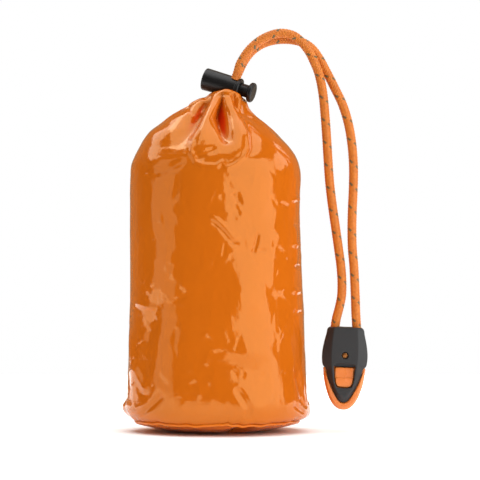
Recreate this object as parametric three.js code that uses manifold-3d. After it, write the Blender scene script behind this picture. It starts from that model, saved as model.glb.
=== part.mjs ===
// Folded emergency sleeping bag, packed in its drawstring stuff sack.
// Millimetres, +Z up, the front towards -Y. The origin is on the floor under the middle of the sack.
import * as THREE from 'three';
import { mergeVertices } from 'three/addons/utils/BufferGeometryUtils.js';
import Module from 'manifold-3d';

const wasm = await Module();
wasm.setup();

// Driving dimensions

const SEAM_HEIGHT = 5.4;
const CLOTH = 1.2;
const GAP = 0.3;
const BASE_RIM = { left: -38.2, right: 38.8, depth: 36.5 };
const CORD_DIAMETER = 4.3;
const LOCK_LEFT_END = new THREE.Vector3(-5.6, 3.9, 163.2);
const LOCK_AXIS = new THREE.Vector3(0.926, -0.26, -0.272).normalize();
const BARREL_LENGTH = 18.1;
const BARREL_RADIUS = 5.2;
const BARREL_END_RADIUS = 4.8;
const NECK_RADIUS = 2.95;
const HEAD_RADIUS = 4.65;
const WHISTLE_TOP = new THREE.Vector3(59.9, 0, 48.2);
const WHISTLE_TILT = THREE.MathUtils.degToRad(2.1);
const WHISTLE_DEPTH = 10;

const colours = {
  nylon: 0xd96c1a,
  cord: 0xd9741f,
  blackPlastic: 0x26262a,
  orangePlastic: 0xe8712c,
  brass: 0xb5763f,
};

function finish(colour, roughness, metalness = 0) {
  return new THREE.MeshStandardMaterial({ color: colour, roughness, metalness });
}

function piece(name, geometry, material) {
  const mesh = new THREE.Mesh(geometry, material);
  mesh.name = name;
  return mesh;
}

// Shared geometry

// Value of one named column, read smoothly between the rows of a table
function column(table, name, place) {
  const last = table.length - 1;
  const i = Math.min(Math.floor(place), last - 1);
  const t = place - i;
  const [a, b, c, d] = [i - 1, i, i + 1, i + 2].map((k) => table[THREE.MathUtils.clamp(k, 0, last)][name]);
  return 0.5 * (2 * b + (c - a) * t + (2 * a - 5 * b + 4 * c - d) * t * t + (3 * b - a - 3 * c + d) * t ** 3);
}

// A closed body through rings of points, with a pole at each end; rings run from the underside up and in
function ringBody(lowPole, rings, highPole) {
  const around = rings[0].length;
  const points = [lowPole, ...rings.flat(), highPole];
  const top = points.length - 1;
  const faces = [];
  const at = (ring, k) => 1 + ring * around + (k % around);
  for (let k = 0; k < around; k++) {
    faces.push(0, at(0, k + 1), at(0, k));
    faces.push(top, at(rings.length - 1, k), at(rings.length - 1, k + 1));
    for (let r = 0; r < rings.length - 1; r++) {
      faces.push(at(r, k), at(r, k + 1), at(r + 1, k + 1));
      faces.push(at(r, k), at(r + 1, k + 1), at(r + 1, k));
    }
  }
  const geometry = new THREE.BufferGeometry().setFromPoints(points);
  geometry.setIndex(faces);
  return geometry;
}

function toSolid(geometry) {
  const bare = geometry.clone();
  bare.deleteAttribute('normal');
  bare.deleteAttribute('uv');
  const merged = mergeVertices(bare, 1e-4);
  return new wasm.Manifold(
    new wasm.Mesh({
      numProp: 3,
      vertProperties: Float32Array.from(merged.attributes.position.array),
      triVerts: Uint32Array.from(merged.index.array),
    }),
  );
}

function toGeometry(solid) {
  const mesh = solid.getMesh();
  const geometry = new THREE.BufferGeometry();
  geometry.setAttribute('position', new THREE.BufferAttribute(Float32Array.from(mesh.vertProperties), 3));
  geometry.setIndex(new THREE.BufferAttribute(Uint32Array.from(mesh.triVerts), 1));
  return geometry;
}

// A round body about +Y from a closed profile of [radius, height] points, laid along the lock's axis
function onLockAxis(profile, sides) {
  const geometry = new THREE.LatheGeometry(profile.map(([r, h]) => new THREE.Vector2(r, h)), sides);
  const turn = new THREE.Quaternion().setFromUnitVectors(new THREE.Vector3(0, 1, 0), LOCK_AXIS);
  return geometry.applyQuaternion(turn).translate(LOCK_LEFT_END.x, LOCK_LEFT_END.y, LOCK_LEFT_END.z);
}

// An outline in X and Z pulled through the depth Y, from its front face to its back face
function slab(outline, front, back) {
  const shape = new THREE.Shape(outline.map(([x, z]) => new THREE.Vector2(x, z)));
  const geometry = new THREE.ExtrudeGeometry(shape, { depth: back - front, bevelEnabled: false });
  return geometry.rotateX(Math.PI / 2).translate(0, back, 0);
}

// How near a bearing is to a middle one, from 1 on it down to 0, the short way round
function nearBearing(bearing, middle, width) {
  const off = THREE.MathUtils.euclideanModulo(bearing - middle + 180, 360) - 180;
  return Math.exp(-((off / width) ** 2));
}

// Round base panel, sewn to the sack's lower edge: a flat spot on the floor, then bulging up to the seam,
// with one fold drawn into it at the front. Reach is 0 at its middle and 1 at the seam
const BASE_FLAT = { reach: 0.44, swing: 0.06 };
const BASE_BULGE = 1.6;
const BASE_FOLD = { bearing: 23, width: 8, lift: 2.2, starts: 0.38, full: 0.72, fades: 0.8 };
const BASE_ROWS = [0.38, 0.5, 0.62, 0.74, 0.87, 1];

// Bearings of the points round the sack, in degrees from the front, closer together at the front
const AROUND = 104;
const FRONT_CROWDING = 16;
const bearings = Array.from({ length: AROUND }, (_, k) => {
  const share = k / AROUND;
  return 360 * share - FRONT_CROWDING * Math.sin(2 * Math.PI * share);
});

function basePoint(reach, bearing, above) {
  const turn = THREE.MathUtils.degToRad(bearing);
  const flat = BASE_FLAT.reach - BASE_FLAT.swing * Math.cos(turn);
  const rise = THREE.MathUtils.clamp((reach - flat) / (1 - flat), 0, 1) ** BASE_BULGE;
  const folded =
    THREE.MathUtils.smoothstep(reach, BASE_FOLD.starts, BASE_FOLD.full) *
    (1 - THREE.MathUtils.smoothstep(reach, BASE_FOLD.fades, 1));
  const lift = BASE_FOLD.lift * folded * nearBearing(bearing, BASE_FOLD.bearing, BASE_FOLD.width);
  const middle = (BASE_RIM.left + BASE_RIM.right) / 2;
  const halfWidth = (BASE_RIM.right - BASE_RIM.left) / 2;
  return new THREE.Vector3(
    (middle + Math.sin(turn) * halfWidth) * reach,
    -Math.cos(turn) * BASE_RIM.depth * reach,
    (SEAM_HEIGHT - CLOTH) * rise + lift + above,
  );
}

// Rings of the base panel's own curve, from its middle out to the seam, raised above the floor side
function baseRings(above) {
  return BASE_ROWS.map((reach) => bearings.map((bearing) => basePoint(reach, bearing, above)));
}

function basePanel() {
  const rings = [...baseRings(0), ...baseRings(CLOTH).reverse()];
  return ringBody(new THREE.Vector3(0, 0, 0), rings, new THREE.Vector3(0, 0, CLOTH));
}

// Stuff sack: one filled body, with its side panel, crown, drawn mouth and channel hem

// Rings of the wall, from just above the base seam up to the mouth. The last three go over the crest
// and down into the pit where the lock lies
const SECTIONS = [
  { height: 6.2, left: -39.2, right: 40.4, front: -36.8, back: 36.8 },
  { height: 7.8, left: -40.6, right: 42.2, front: -37.3, back: 37.3 },
  { height: 11, left: -41.9, right: 42.6, front: -37.8, back: 37.9 },
  { height: 17, left: -41.4, right: 42, front: -38, back: 38 },
  { height: 27, left: -40.9, right: 41.5, front: -37.7, back: 37.8 },
  { height: 40, left: -40.7, right: 40.8, front: -37.3, back: 37.7 },
  { height: 56, left: -40.3, right: 40.4, front: -37.2, back: 37.4 },
  { height: 74, left: -40.2, right: 39.5, front: -37, back: 37.2 },
  { height: 92, left: -40.2, right: 38.6, front: -36.8, back: 37 },
  { height: 108, left: -40, right: 38.8, front: -36.6, back: 36.8 },
  { height: 118, left: -39.8, right: 39, front: -36, back: 36.4 },
  { height: 123, left: -39.4, right: 38.3, front: -34.9, back: 35.2 },
  { height: 127.5, left: -37.7, right: 36.6, front: -33.2, back: 33.4 },
  { height: 131.5, left: -35.7, right: 33.8, front: -30.8, back: 31 },
  { height: 135.3, left: -33.6, right: 30.4, front: -28.2, back: 28.4 },
  { height: 139, left: -30.9, right: 27, front: -25.2, back: 25.4 },
  { height: 142.6, left: -26.6, right: 23, front: -21.8, back: 22.2 },
  { height: 146, left: -22.4, right: 18.8, front: -18.4, back: 18.8 },
  { height: 149.2, left: -16.6, right: 16, front: -15, back: 15.2 },
  { height: 152, left: -10.8, right: 14.9, front: -11.8, back: 11.6 },
  { height: 154.6, left: -5.6, right: 14.1, front: -9.6, back: 9.4 },
  { height: 156.6, left: -2.6, right: 13, front: -8.3, back: 8.4 },
  { height: 157.4, left: -0.8, right: 11.4, front: -6.9, back: 7.2 },
  { height: 156.2, left: 0.6, right: 10, front: -5.2, back: 5.6 },
  { height: 154.2, left: 2.6, right: 8, front: -3, back: 3.4 },
];
const CREST_ROW = 22;
const CREST_LIFT_ROWS = { from: 19.5, full: 22.5 };
const SQUARENESS = 2.15;

// Soft folds by hand. from and to are row heights; bearing is degrees from the front, + to the right,
// at each of them; depth is + for a ridge and - for a trough; width is half the fold's, in degrees
const FOLDS = [
  { from: 156, to: 134, bearingFrom: 62, bearingTo: 54, depth: -1.9, width: 10 },
  { from: 155, to: 132, bearingFrom: 86, bearingTo: 80, depth: -2.4, width: 9 },
  { from: 156, to: 136, bearingFrom: 112, bearingTo: 117, depth: -3.4, width: 10 },
  { from: 156, to: 130, bearingFrom: 141, bearingTo: 148, depth: -4.2, width: 9 },
  { from: 156, to: 134, bearingFrom: 170, bearingTo: 176, depth: -5, width: 10 },
  { from: 156, to: 131, bearingFrom: 203, bearingTo: 209, depth: -4, width: 9 },
  { from: 156, to: 136, bearingFrom: 233, bearingTo: 236, depth: -3.4, width: 10 },
  { from: 155, to: 134, bearingFrom: 262, bearingTo: 264, depth: -3, width: 9 },
  { from: 155, to: 138, bearingFrom: 291, bearingTo: 284, depth: -2.4, width: 9 },
  { from: 60, to: 4, bearingFrom: -44, bearingTo: -62, depth: -1.8, width: 6 },
  { from: 48, to: 6, bearingFrom: -76, bearingTo: -56, depth: 1.6, width: 6 },
  { from: 30, to: 5, bearingFrom: 62, bearingTo: 70, depth: -1.2, width: 6 },
  { from: 13.5, to: 3, bearingFrom: -93, bearingTo: -93, depth: 1.6, width: 8 },
  { from: 14, to: 2, bearingFrom: 92, bearingTo: 92, depth: 0.9, width: 8 },
  { from: 70, to: 5, bearingFrom: 148, bearingTo: 131, depth: -1.6, width: 7 },
  { from: 58, to: 4, bearingFrom: 214, bearingTo: 232, depth: -1.7, width: 7 },
  { from: 104, to: 40, bearingFrom: 176, bearingTo: 190, depth: -1.2, width: 8 },
];

// Share of a fold's length, from its start, over which it fades in and out
const FOLD_FADE = { before: -0.15, within: 0.2, end: 0.55 };

// How far the folds push a point of the wall out, in or against its own direction
function foldDepth(height, bearing) {
  let depth = 0;
  for (const fold of FOLDS) {
    const along = (fold.from - height) / (fold.from - fold.to);
    const middle = THREE.MathUtils.lerp(fold.bearingFrom, fold.bearingTo, along);
    const fade =
      THREE.MathUtils.smoothstep(1 - along, 0, FOLD_FADE.end) *
      THREE.MathUtils.smoothstep(along, FOLD_FADE.before, FOLD_FADE.within);
    depth += fold.depth * fade * nearBearing(bearing, middle, fold.width);
  }
  return depth;
}

// Pleats of the drawn mouth at the front, by hand, each from its lower end up: the deep valley in the
// middle, the petal on each side of it, and the valley outside each petal. Each row is x, height, depth
// (+ ridge, - valley), and the half width to its left and to its right
const PLEATS = [
  [
    [4.7, 131.7, 0, 1.2, 2.6], [3.9, 136, -4.5, 1.4, 2.6], [3, 140, -8.5, 1.9, 2.5],
    [2.4, 144.5, -10.5, 2.5, 2.7], [2.4, 148, -8.5, 1.9, 2.1], [2.4, 152, -4, 1, 1],
    [2.3, 154.5, -1.6, 0.6, 0.7], [2.2, 156.5, 0, 0.5, 0.5],
  ],
  [
    [-6, 126, 0, 5, 5], [-7, 133, 1.4, 5, 5], [-6, 139.5, 2.4, 4, 4], [-3.6, 146, 2.4, 2.8, 2.8],
    [-1.6, 152, 1.5, 2.2, 2.2], [-1.2, 157, 0, 1.5, 2],
  ],
  [
    [9, 125, 0, 4, 4], [10.5, 131, 1.2, 4, 4], [10.9, 137.7, 2.2, 4, 3.6], [9, 144, 2.2, 3.4, 3.2],
    [7, 150.5, 1.4, 2.6, 2.2], [5.8, 156.5, 0, 2, 2],
  ],
  [
    [13.5, 126, 0, 1.2, 3], [16, 131, -0.7, 1.2, 3], [15.8, 138.5, -1.2, 1.2, 3.4],
    [13.4, 144.8, -1.8, 1.1, 3], [10.8, 148, -3.2, 1, 2.2], [9.6, 150.3, -3.6, 1, 1.8],
    [8.9, 153.4, -2.4, 1, 1.4], [7.6, 157, 0, 0.7, 0.7],
  ],
  [
    [-25, 125, 0, 7, 6], [-18.9, 131, -1.8, 6, 4.2], [-14.8, 135, -3.6, 5, 3], [-11.3, 140, -6, 4, 2],
    [-8.6, 145.4, -7.5, 3.2, 1.5], [-6.4, 149.6, -6.5, 2.4, 1.2], [-3.8, 153, -3, 1.6, 0.8],
    [-2.2, 156, 0, 0.9, 0.7],
  ],
];
const PLEAT_FADE = 3;
const PLEAT_SHARPNESS = 1.7;

// A pleat's row at one height, read straight between its rows and held past its ends, and how it leans
function pleatAt(rows, height) {
  const next = rows.findIndex(([, rowHeight]) => rowHeight > height);
  if (next <= 0) {
    return { row: next < 0 ? rows.at(-1) : rows[0], lean: 0 };
  }
  const [below, above] = [rows[next - 1], rows[next]];
  const rise = above[1] - below[1];
  const row = below.map((value, i) => THREE.MathUtils.lerp(value, above[i], (height - below[1]) / rise));
  return { row, lean: (above[0] - below[0]) / rise };
}

function pleatDepth(x, height) {
  let depth = 0;
  for (const rows of PLEATS) {
    const { row, lean } = pleatAt(rows, height);
    const [middle, , deep, leftWidth, rightWidth] = row;
    const off = (x - middle) / Math.hypot(1, lean);
    const width = off < 0 ? leftWidth : rightWidth;
    const lowest = rows[0][1];
    const fade = THREE.MathUtils.smoothstep(height, lowest, lowest + PLEAT_FADE);
    depth += deep * fade * Math.exp(-((Math.abs(off) / width) ** PLEAT_SHARPNESS));
  }
  return depth;
}

// The crest of the mouth stands highest at the front left, and dips on the right under the button
const CREST_LIFT = { height: 1.1, bearing: -6, width: 30 };
const CREST_DIP = { height: 4.6, bearing: 86, width: 34 };

function crestLift(bearing) {
  return (
    CREST_LIFT.height * nearBearing(bearing, CREST_LIFT.bearing, CREST_LIFT.width) -
    CREST_DIP.height * nearBearing(bearing, CREST_DIP.bearing, CREST_DIP.width)
  );
}

// Folds grow shallower where the mouth is narrower than this
const FULL_FOLD_HALF_WIDTH = 9;

function sackRing(place) {
  const [height, left, right, front, back] = ['height', 'left', 'right', 'front', 'back'].map((name) =>
    column(SECTIONS, name, place),
  );
  const halfWidth = (right - left) / 2;
  const halfDepth = (back - front) / 2;
  const nearCrest = THREE.MathUtils.smoothstep(place, CREST_LIFT_ROWS.from, CREST_LIFT_ROWS.full);
  const foldShare =
    Math.min(1, halfWidth / FULL_FOLD_HALF_WIDTH) *
    (1 - THREE.MathUtils.smoothstep(place, CREST_ROW, CREST_ROW + 1));
  return bearings.map((bearing) => {
    const turn = THREE.MathUtils.degToRad(bearing);
    const [sine, cosine] = [Math.sin(turn), -Math.cos(turn)];
    const squared = Math.abs(sine) ** SQUARENESS + Math.abs(cosine) ** SQUARENESS;
    const reach = squared ** (-1 / SQUARENESS);
    const flatX = (left + right) / 2 + sine * halfWidth * reach;
    const pleat = cosine < 0 ? pleatDepth(flatX, height) : 0;
    const fold = foldShare * (foldDepth(height, bearing) + pleat);
    return new THREE.Vector3(
      (left + right) / 2 + sine * (halfWidth * reach + fold),
      (front + back) / 2 + cosine * (halfDepth * reach + fold),
      height + nearCrest * crestLift(bearing),
    );
  });
}

// Rows between which the wall has a ring more, because its folds are there
const FOLDED_ROWS = { first: 9, last: 20 };
const PIT_HOLLOW = 1;

function sackBody() {
  const last = SECTIONS.length - 1;
  const places = [];
  for (let row = 0; row < last; row++) {
    places.push(row);
    if (row >= FOLDED_ROWS.first && row <= FOLDED_ROWS.last) places.push(row + 0.5);
  }
  places.push(last);
  const pit = SECTIONS[last];
  const rings = [...baseRings(CLOTH + GAP), ...places.map(sackRing)];
  const highPole = new THREE.Vector3((pit.left + pit.right) / 2, 0, pit.height - PIT_HOLLOW);
  return toSolid(ringBody(new THREE.Vector3(0, 0, CLOTH + GAP), rings, highPole));
}

// Barrel cord lock: the barrel, closed at its left end and bored for the sprung button

const BORE_RADIUS = NECK_RADIUS + GAP;
const BORE_DEPTH = 10.5;
const NECK_INSIDE = 6.5;
const HEAD_INNER_FACE = 22.3;
const HEAD_THICKNESS = 2.4;
const LOCK_SIDES = 40;
const END_LIP = 0.15;
const BARREL_RIM = 0.5;
const EDGE_ROUND = 0.6;
const BARREL_TAPER_START = 2;

// The barrel's closed end, from its sunk middle to its side: radius left off, and depth below the end
const CLOSED_END = [[1, 0.4], [0.8, 0], [0.35, 0], [0, 0.4]];

// Each profile row is a radius and a distance from the barrel's left end
function barrel() {
  const rim = BARREL_RIM;
  const end = BARREL_LENGTH;
  return onLockAxis([
    [0, CLOSED_END[0][1]],
    ...CLOSED_END.map(([inset, depth]) => [BARREL_RADIUS - inset, depth]),
    [BARREL_RADIUS, BARREL_TAPER_START],
    [BARREL_END_RADIUS, end - 3 * rim],
    [BARREL_END_RADIUS + END_LIP, end - 2 * rim],
    [BARREL_END_RADIUS + END_LIP, end - rim],
    [BARREL_END_RADIUS + END_LIP - rim, end],
    [BORE_RADIUS, end],
    [BORE_RADIUS, end - BORE_DEPTH],
    [0, end - BORE_DEPTH],
  ], LOCK_SIDES);
}

function button() {
  const start = BARREL_LENGTH - NECK_INSIDE;
  const outer = HEAD_INNER_FACE + HEAD_THICKNESS;
  return onLockAxis([
    [0, start],
    [NECK_RADIUS, start],
    [NECK_RADIUS, HEAD_INNER_FACE - EDGE_ROUND],
    [NECK_RADIUS + EDGE_ROUND, HEAD_INNER_FACE],
    [HEAD_RADIUS - EDGE_ROUND, HEAD_INNER_FACE],
    [HEAD_RADIUS, HEAD_INNER_FACE + EDGE_ROUND],
    [HEAD_RADIUS, outer - EDGE_ROUND],
    [HEAD_RADIUS - EDGE_ROUND, outer],
    [0, outer],
  ], LOCK_SIDES);
}

// Room that the lock takes out of the drawn mouth: the barrel as it lies in the gathers,
// and the button with its way in and out
const ROOM_SIDES = 48;
const ROOM_PAST_LEFT_END = 8;
const ROOM_PAST_HEAD = 6;
const ROOMS_OVERLAP = 1;
const BUTTON_CLEARANCE = 0.5;

function lockRoom() {
  const length = BARREL_LENGTH + GAP;
  const barrelRoom = onLockAxis([
    [0, -ROOM_PAST_LEFT_END],
    [BARREL_RADIUS + GAP, -ROOM_PAST_LEFT_END],
    [BARREL_RADIUS + GAP, BARREL_TAPER_START],
    [BARREL_END_RADIUS + END_LIP + GAP, length],
    [0, length],
  ], ROOM_SIDES);
  const headRoomEnd = HEAD_INNER_FACE + HEAD_THICKNESS + ROOM_PAST_HEAD;
  const buttonRoom = onLockAxis([
    [0, BARREL_LENGTH - ROOMS_OVERLAP],
    [HEAD_RADIUS + BUTTON_CLEARANCE, BARREL_LENGTH - ROOMS_OVERLAP],
    [HEAD_RADIUS + BUTTON_CLEARANCE, headRoomEnd],
    [0, headRoomEnd],
  ], ROOM_SIDES);
  return toSolid(barrelRoom).add(toSolid(buttonRoom));
}

// Drawcord: two strands side by side out of the lock, over in one arch and down to the whistle.
// Each row is a point on the strand's middle: x, y, z
const FRONT_STRAND = [
  [9.3, -2.3, 164.8], [9.9, -2.3, 166.5], [10.9, -2.3, 169.7], [12.7, -2.3, 173], [15, -2.3, 176.2],
  [18.2, -2.4, 179.3], [23.3, -2.5, 182.5], [30.2, -2.5, 184.2], [36.2, -2.5, 182.7], [39.8, -2.5, 179.6],
  [42.8, -2.5, 175.7], [45.1, -2.5, 171.1], [47, -2.4, 166.5], [48.2, -2.2, 161.9], [49.3, -1.9, 155.5],
  [50.2, -1.4, 146.3], [50.9, -0.9, 137.1], [51.6, -0.5, 126], [52.4, -0.2, 115], [53.6, 0, 104.9],
  [55.2, 0, 93.8], [56.5, 0, 84.6], [57.6, 0, 76.4], [58.1, 0, 68.5], [57.9, 0, 62.6],
  [56.8, 0, 57], [55.5, 0, 52], [54.9, 0, 47.8], [54.8, 0, 44.2],
];
const REAR_STRAND = [
  [9.7, 2.4, 164.8], [10.6, 2.4, 167], [12, 2.4, 170], [14.1, 2.4, 173.4], [16.8, 2.4, 176.4],
  [21, 2.4, 179.2], [26, 2.5, 180.9], [31.6, 2.5, 181.4], [36.6, 2.5, 180.9], [40.3, 2.5, 179.8],
  [44, 2.5, 177.3], [47.2, 2.5, 173.2], [50.4, 2.4, 167.4], [54.6, 2, 159.2], [58.5, 1.4, 150.9],
  [61.2, 0.8, 141.7], [62.7, 0.4, 132.5], [63.4, 0.1, 122.4], [63.3, 0, 112.2], [62.9, 0, 103],
  [62.7, 0, 93.8], [62.9, 0, 84.6], [63.6, 0, 76.4], [64, 0, 69], [64.3, 0, 61.6],
  [64.5, 0, 55.2], [64.9, 0, 48.2], [65, 0, 44.2],
];
const STRAND_SIDES = 10;
const STRAND_STEPS = 30;

function strand(route) {
  const outline = Array.from({ length: STRAND_SIDES }, (_, k) => {
    const turn = (2 * Math.PI * k) / STRAND_SIDES;
    return new THREE.Vector2(Math.cos(turn), Math.sin(turn)).multiplyScalar(CORD_DIAMETER / 2);
  });
  const path = new THREE.CatmullRomCurve3(route.map(([x, y, z]) => new THREE.Vector3(x, y, z)));
  return new THREE.ExtrudeGeometry(new THREE.Shape(outline), {
    steps: STRAND_STEPS,
    extrudePath: path,
    bevelEnabled: false,
  });
}

// Whistle: a black shell of a solid shoulder and two plates, on an orange body. Heights are below its top

// Half outlines as rows of half width and depth below the top, mirrored left to right
const SHELL_OUTLINE = [[7.4, 0], [8.3, 0.7], [8.8, 3.2], [10, 8], [10.5, 12.5], [10.4, 16], [9.8, 18.3]];
const PLATE_OUTLINE = [[9, 18.2], [8, 22], [6.7, 25.6], [4.8, 29.6], [3.1, 32.6], [1.6, 34.3], [0, 34.8]];
const BODY_OUTLINE = [
  [9.7, 18.6], [9.6, 20.5], [9.1, 25], [7.9, 29.5], [6.3, 33.4], [4.3, 36.3], [2.2, 37.8], [0, 38.2],
];
const WINDOW_OUTLINE = [[4, 16.7], [4.9, 17.6], [4.7, 20.5], [3.9, 26.8], [3, 27.9]];
const PAD_OUTLINE = [[4.2, 18.6], [4.3, 20], [3.5, 26.6], [2.8, 27.4]];
const STEP_OUTLINE = [[3.8, 23.4], [3.5, 26.6], [2.8, 27.4]];
const PLATE_TIP_HALF_WIDTH = 2;
const PAD_FRONT = -3.4;
const STEP_FRONT = -4;
const WHISTLE_HALF_WIDTH = 10.5;
const FACET_HALF_WIDTH = 5.7;
const EDGE_HALF_DEPTH = 3.1;
const TONGUE_HALF_DEPTH = 2.2;
const BODY_HALF_DEPTH = 3.5;
const CORD_HOLE_SPREAD = 5.05;
const CORD_HOLE_DEPTH = 5;
const HOLE_SIDES = 20;
const SCREW_BELOW_TOP = 12.9;
const SCREW_RADIUS = 1.25;
const SCREW_LENGTH = 1;
const SCREW_FACE = -4;

// How far a cutting solid stands past what it cuts, and how far a joined one sinks in
const PAST = 1;
const SUNK = 0.5;

function mirrored(half, grow = 0) {
  const right = half.map(([x, down]) => [x + (x > 0 ? grow : 0), -down]);
  const left = right.filter(([x]) => x > 0).map(([x, z]) => [-x, z]).reverse();
  return [...right, ...left].reverse();
}

// A block with the whistle's bevelled plan: deep along the middle, thin at the side edges
function bevelledPlan(height) {
  const [middle, edge] = [WHISTLE_DEPTH / 2, EDGE_HALF_DEPTH];
  const quarter = [[WHISTLE_HALF_WIDTH + SUNK, edge], [FACET_HALF_WIDTH, middle]];
  const half = [...quarter, ...quarter.map(([x, y]) => [-x, y]).reverse()];
  const ring = [...half, ...half.map(([x, y]) => [x, -y]).reverse()];
  const shape = new THREE.Shape(ring.map(([x, y]) => new THREE.Vector2(x, y)));
  const block = new THREE.ExtrudeGeometry(shape, { depth: height, bevelEnabled: false });
  return toSolid(block.translate(0, 0, PAST - height));
}

function roundHole(radius, length) {
  return new THREE.CylinderGeometry(radius, radius, length, HOLE_SIDES);
}

const SHELL_LENGTH = 40;
const HOLE_CLEARANCE = 0.4;

function whistleShell() {
  const middle = WHISTLE_DEPTH / 2;
  const inside = TONGUE_HALF_DEPTH + GAP;
  const shoulder = toSolid(slab(mirrored(SHELL_OUTLINE), -middle, middle));
  const frontPlate = toSolid(slab(mirrored(PLATE_OUTLINE), -middle, -inside));
  const backPlate = toSolid(slab(mirrored(PLATE_OUTLINE), inside, middle));
  const window = toSolid(slab(mirrored(WINDOW_OUTLINE), -middle - PAST, -inside));
  let shell = shoulder.add(frontPlate).add(backPlate).intersect(bevelledPlan(SHELL_LENGTH)).subtract(window);
  for (const side of [-1, 1]) {
    const hole = roundHole(CORD_DIAMETER / 2 + HOLE_CLEARANCE, CORD_HOLE_DEPTH + PAST).rotateX(Math.PI / 2);
    hole.translate(side * CORD_HOLE_SPREAD, 0, (PAST - CORD_HOLE_DEPTH) / 2);
    shell = shell.subtract(toSolid(hole));
  }
  const recessFloor = SCREW_FACE + SCREW_LENGTH + GAP;
  const recessLength = middle + PAST + recessFloor;
  const recess = roundHole(SCREW_RADIUS + GAP, recessLength);
  recess.translate(0, recessFloor - recessLength / 2, -SCREW_BELOW_TOP);
  return toGeometry(shell.subtract(toSolid(recess)));
}

function whistleBody() {
  const grown = PLATE_OUTLINE.map(([x, down]) => [x, down + (x < PLATE_TIP_HALF_WIDTH ? GAP : 0)]);
  const plateRoom = (front, back) => toSolid(slab(mirrored(grown, GAP), front, back));
  const raised = (outline, front) => toSolid(slab(mirrored(outline), front, SUNK - TONGUE_HALF_DEPTH));
  return toGeometry(
    toSolid(slab(mirrored(BODY_OUTLINE), -BODY_HALF_DEPTH, BODY_HALF_DEPTH))
      .subtract(plateRoom(-BODY_HALF_DEPTH - PAST, -TONGUE_HALF_DEPTH))
      .subtract(plateRoom(TONGUE_HALF_DEPTH, BODY_HALF_DEPTH + PAST))
      .add(raised(PAD_OUTLINE, PAD_FRONT))
      .add(raised(STEP_OUTLINE, STEP_FRONT)),
  );
}

function whistleScrew() {
  return roundHole(SCREW_RADIUS, SCREW_LENGTH).translate(0, SCREW_FACE + SCREW_LENGTH / 2, -SCREW_BELOW_TOP);
}

// The assembled part

const nylon = finish(colours.nylon, 0.32);
const blackPlastic = finish(colours.blackPlastic, 0.45);
const part = new THREE.Group();

part.add(
  piece('sack', toGeometry(sackBody().subtract(lockRoom())), nylon),
  piece('base_panel', basePanel(), nylon.clone()),
  piece('lock_barrel', barrel(), blackPlastic),
  piece('lock_button', button(), blackPlastic.clone()),
  piece('strand_front', strand(FRONT_STRAND), finish(colours.cord, 0.7)),
  piece('strand_rear', strand(REAR_STRAND), finish(colours.cord, 0.7)),
);

const whistle = new THREE.Group();
whistle.position.copy(WHISTLE_TOP);
whistle.rotation.y = WHISTLE_TILT;
whistle.add(
  piece('whistle_shell', whistleShell(), blackPlastic.clone()),
  piece('whistle_body', whistleBody(), finish(colours.orangePlastic, 0.4)),
  piece('whistle_screw', whistleScrew(), finish(colours.brass, 0.35, 0.9)),
);
part.add(whistle);

export default part;
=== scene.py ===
import math

import bpy
import numpy as np
from mathutils import Matrix, Vector, noise


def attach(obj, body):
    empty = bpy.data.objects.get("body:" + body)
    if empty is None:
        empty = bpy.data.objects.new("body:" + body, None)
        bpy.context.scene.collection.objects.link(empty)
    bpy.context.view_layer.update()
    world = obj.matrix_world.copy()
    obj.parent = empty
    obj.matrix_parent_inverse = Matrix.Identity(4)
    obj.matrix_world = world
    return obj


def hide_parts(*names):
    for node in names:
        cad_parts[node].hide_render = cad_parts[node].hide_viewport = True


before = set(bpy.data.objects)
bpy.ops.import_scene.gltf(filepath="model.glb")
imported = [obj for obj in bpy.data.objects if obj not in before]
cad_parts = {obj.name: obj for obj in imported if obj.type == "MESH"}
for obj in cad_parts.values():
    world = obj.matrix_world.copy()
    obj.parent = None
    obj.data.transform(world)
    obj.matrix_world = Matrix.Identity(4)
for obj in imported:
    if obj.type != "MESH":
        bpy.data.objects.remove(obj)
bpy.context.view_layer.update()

# Camera
# A long lens two metres away and nearly level, as for a catalogue picture of something small. It looks at
# the middle of the photo's frame, so the bag comes out in the same place and as large as there.
MM = 0.001
CAMERA_DISTANCE = 2.0
CAMERA_TILT = math.radians(1.5)
SEEN_WIDTH = 222.2 * MM
SENSOR_WIDTH = 36.0
seen_middle = Vector((10.9, 0.0, 88.6)) * MM

camera_data = bpy.data.cameras.new("camera")
camera_data.sensor_width = SENSOR_WIDTH
camera_data.lens = SENSOR_WIDTH * CAMERA_DISTANCE / SEEN_WIDTH
camera = bpy.data.objects.new("camera", camera_data)
towards_camera = Vector((0.0, -math.cos(CAMERA_TILT), math.sin(CAMERA_TILT)))
camera.location = seen_middle + towards_camera * CAMERA_DISTANCE
camera.rotation_euler = (math.pi / 2 - CAMERA_TILT, 0.0, 0.0)
bpy.context.collection.objects.link(camera)
bpy.context.scene.camera = camera
bpy.context.scene.view_settings.view_transform = "Standard"

# Floor and light
# A matt white table that ends less than 30 cm in front of the bag, in white surroundings. The room is dark
# towards the camera, so the orange stays deep. A large softbox on the right and a narrow one on the left
# draw the two upright bands on the nylon, and three more, all of them high up, light its crown.
TABLE_HALF_WIDTH = 0.6
TABLE_FRONT, TABLE_BACK = -0.29, 0.45
FLOOR_DROP = 0.05 * MM
WHITE_PAINT = "F4F4F4"
ROOM_DARK, ROOM_BEHIND = 0.06, 0.36
ROOM_TURNS_FROM, ROOM_TURNS_TO = 0.35, 0.75
ROOM_WARMTH = "FFD29A"

# Each glow of the table: how far from the bag it starts and is full, in metres, and its strength at both
GLOWS = [(0.037, 0.050, 0.0, 0.37), (0.10, 0.40, 0.0, 0.6)]

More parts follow.
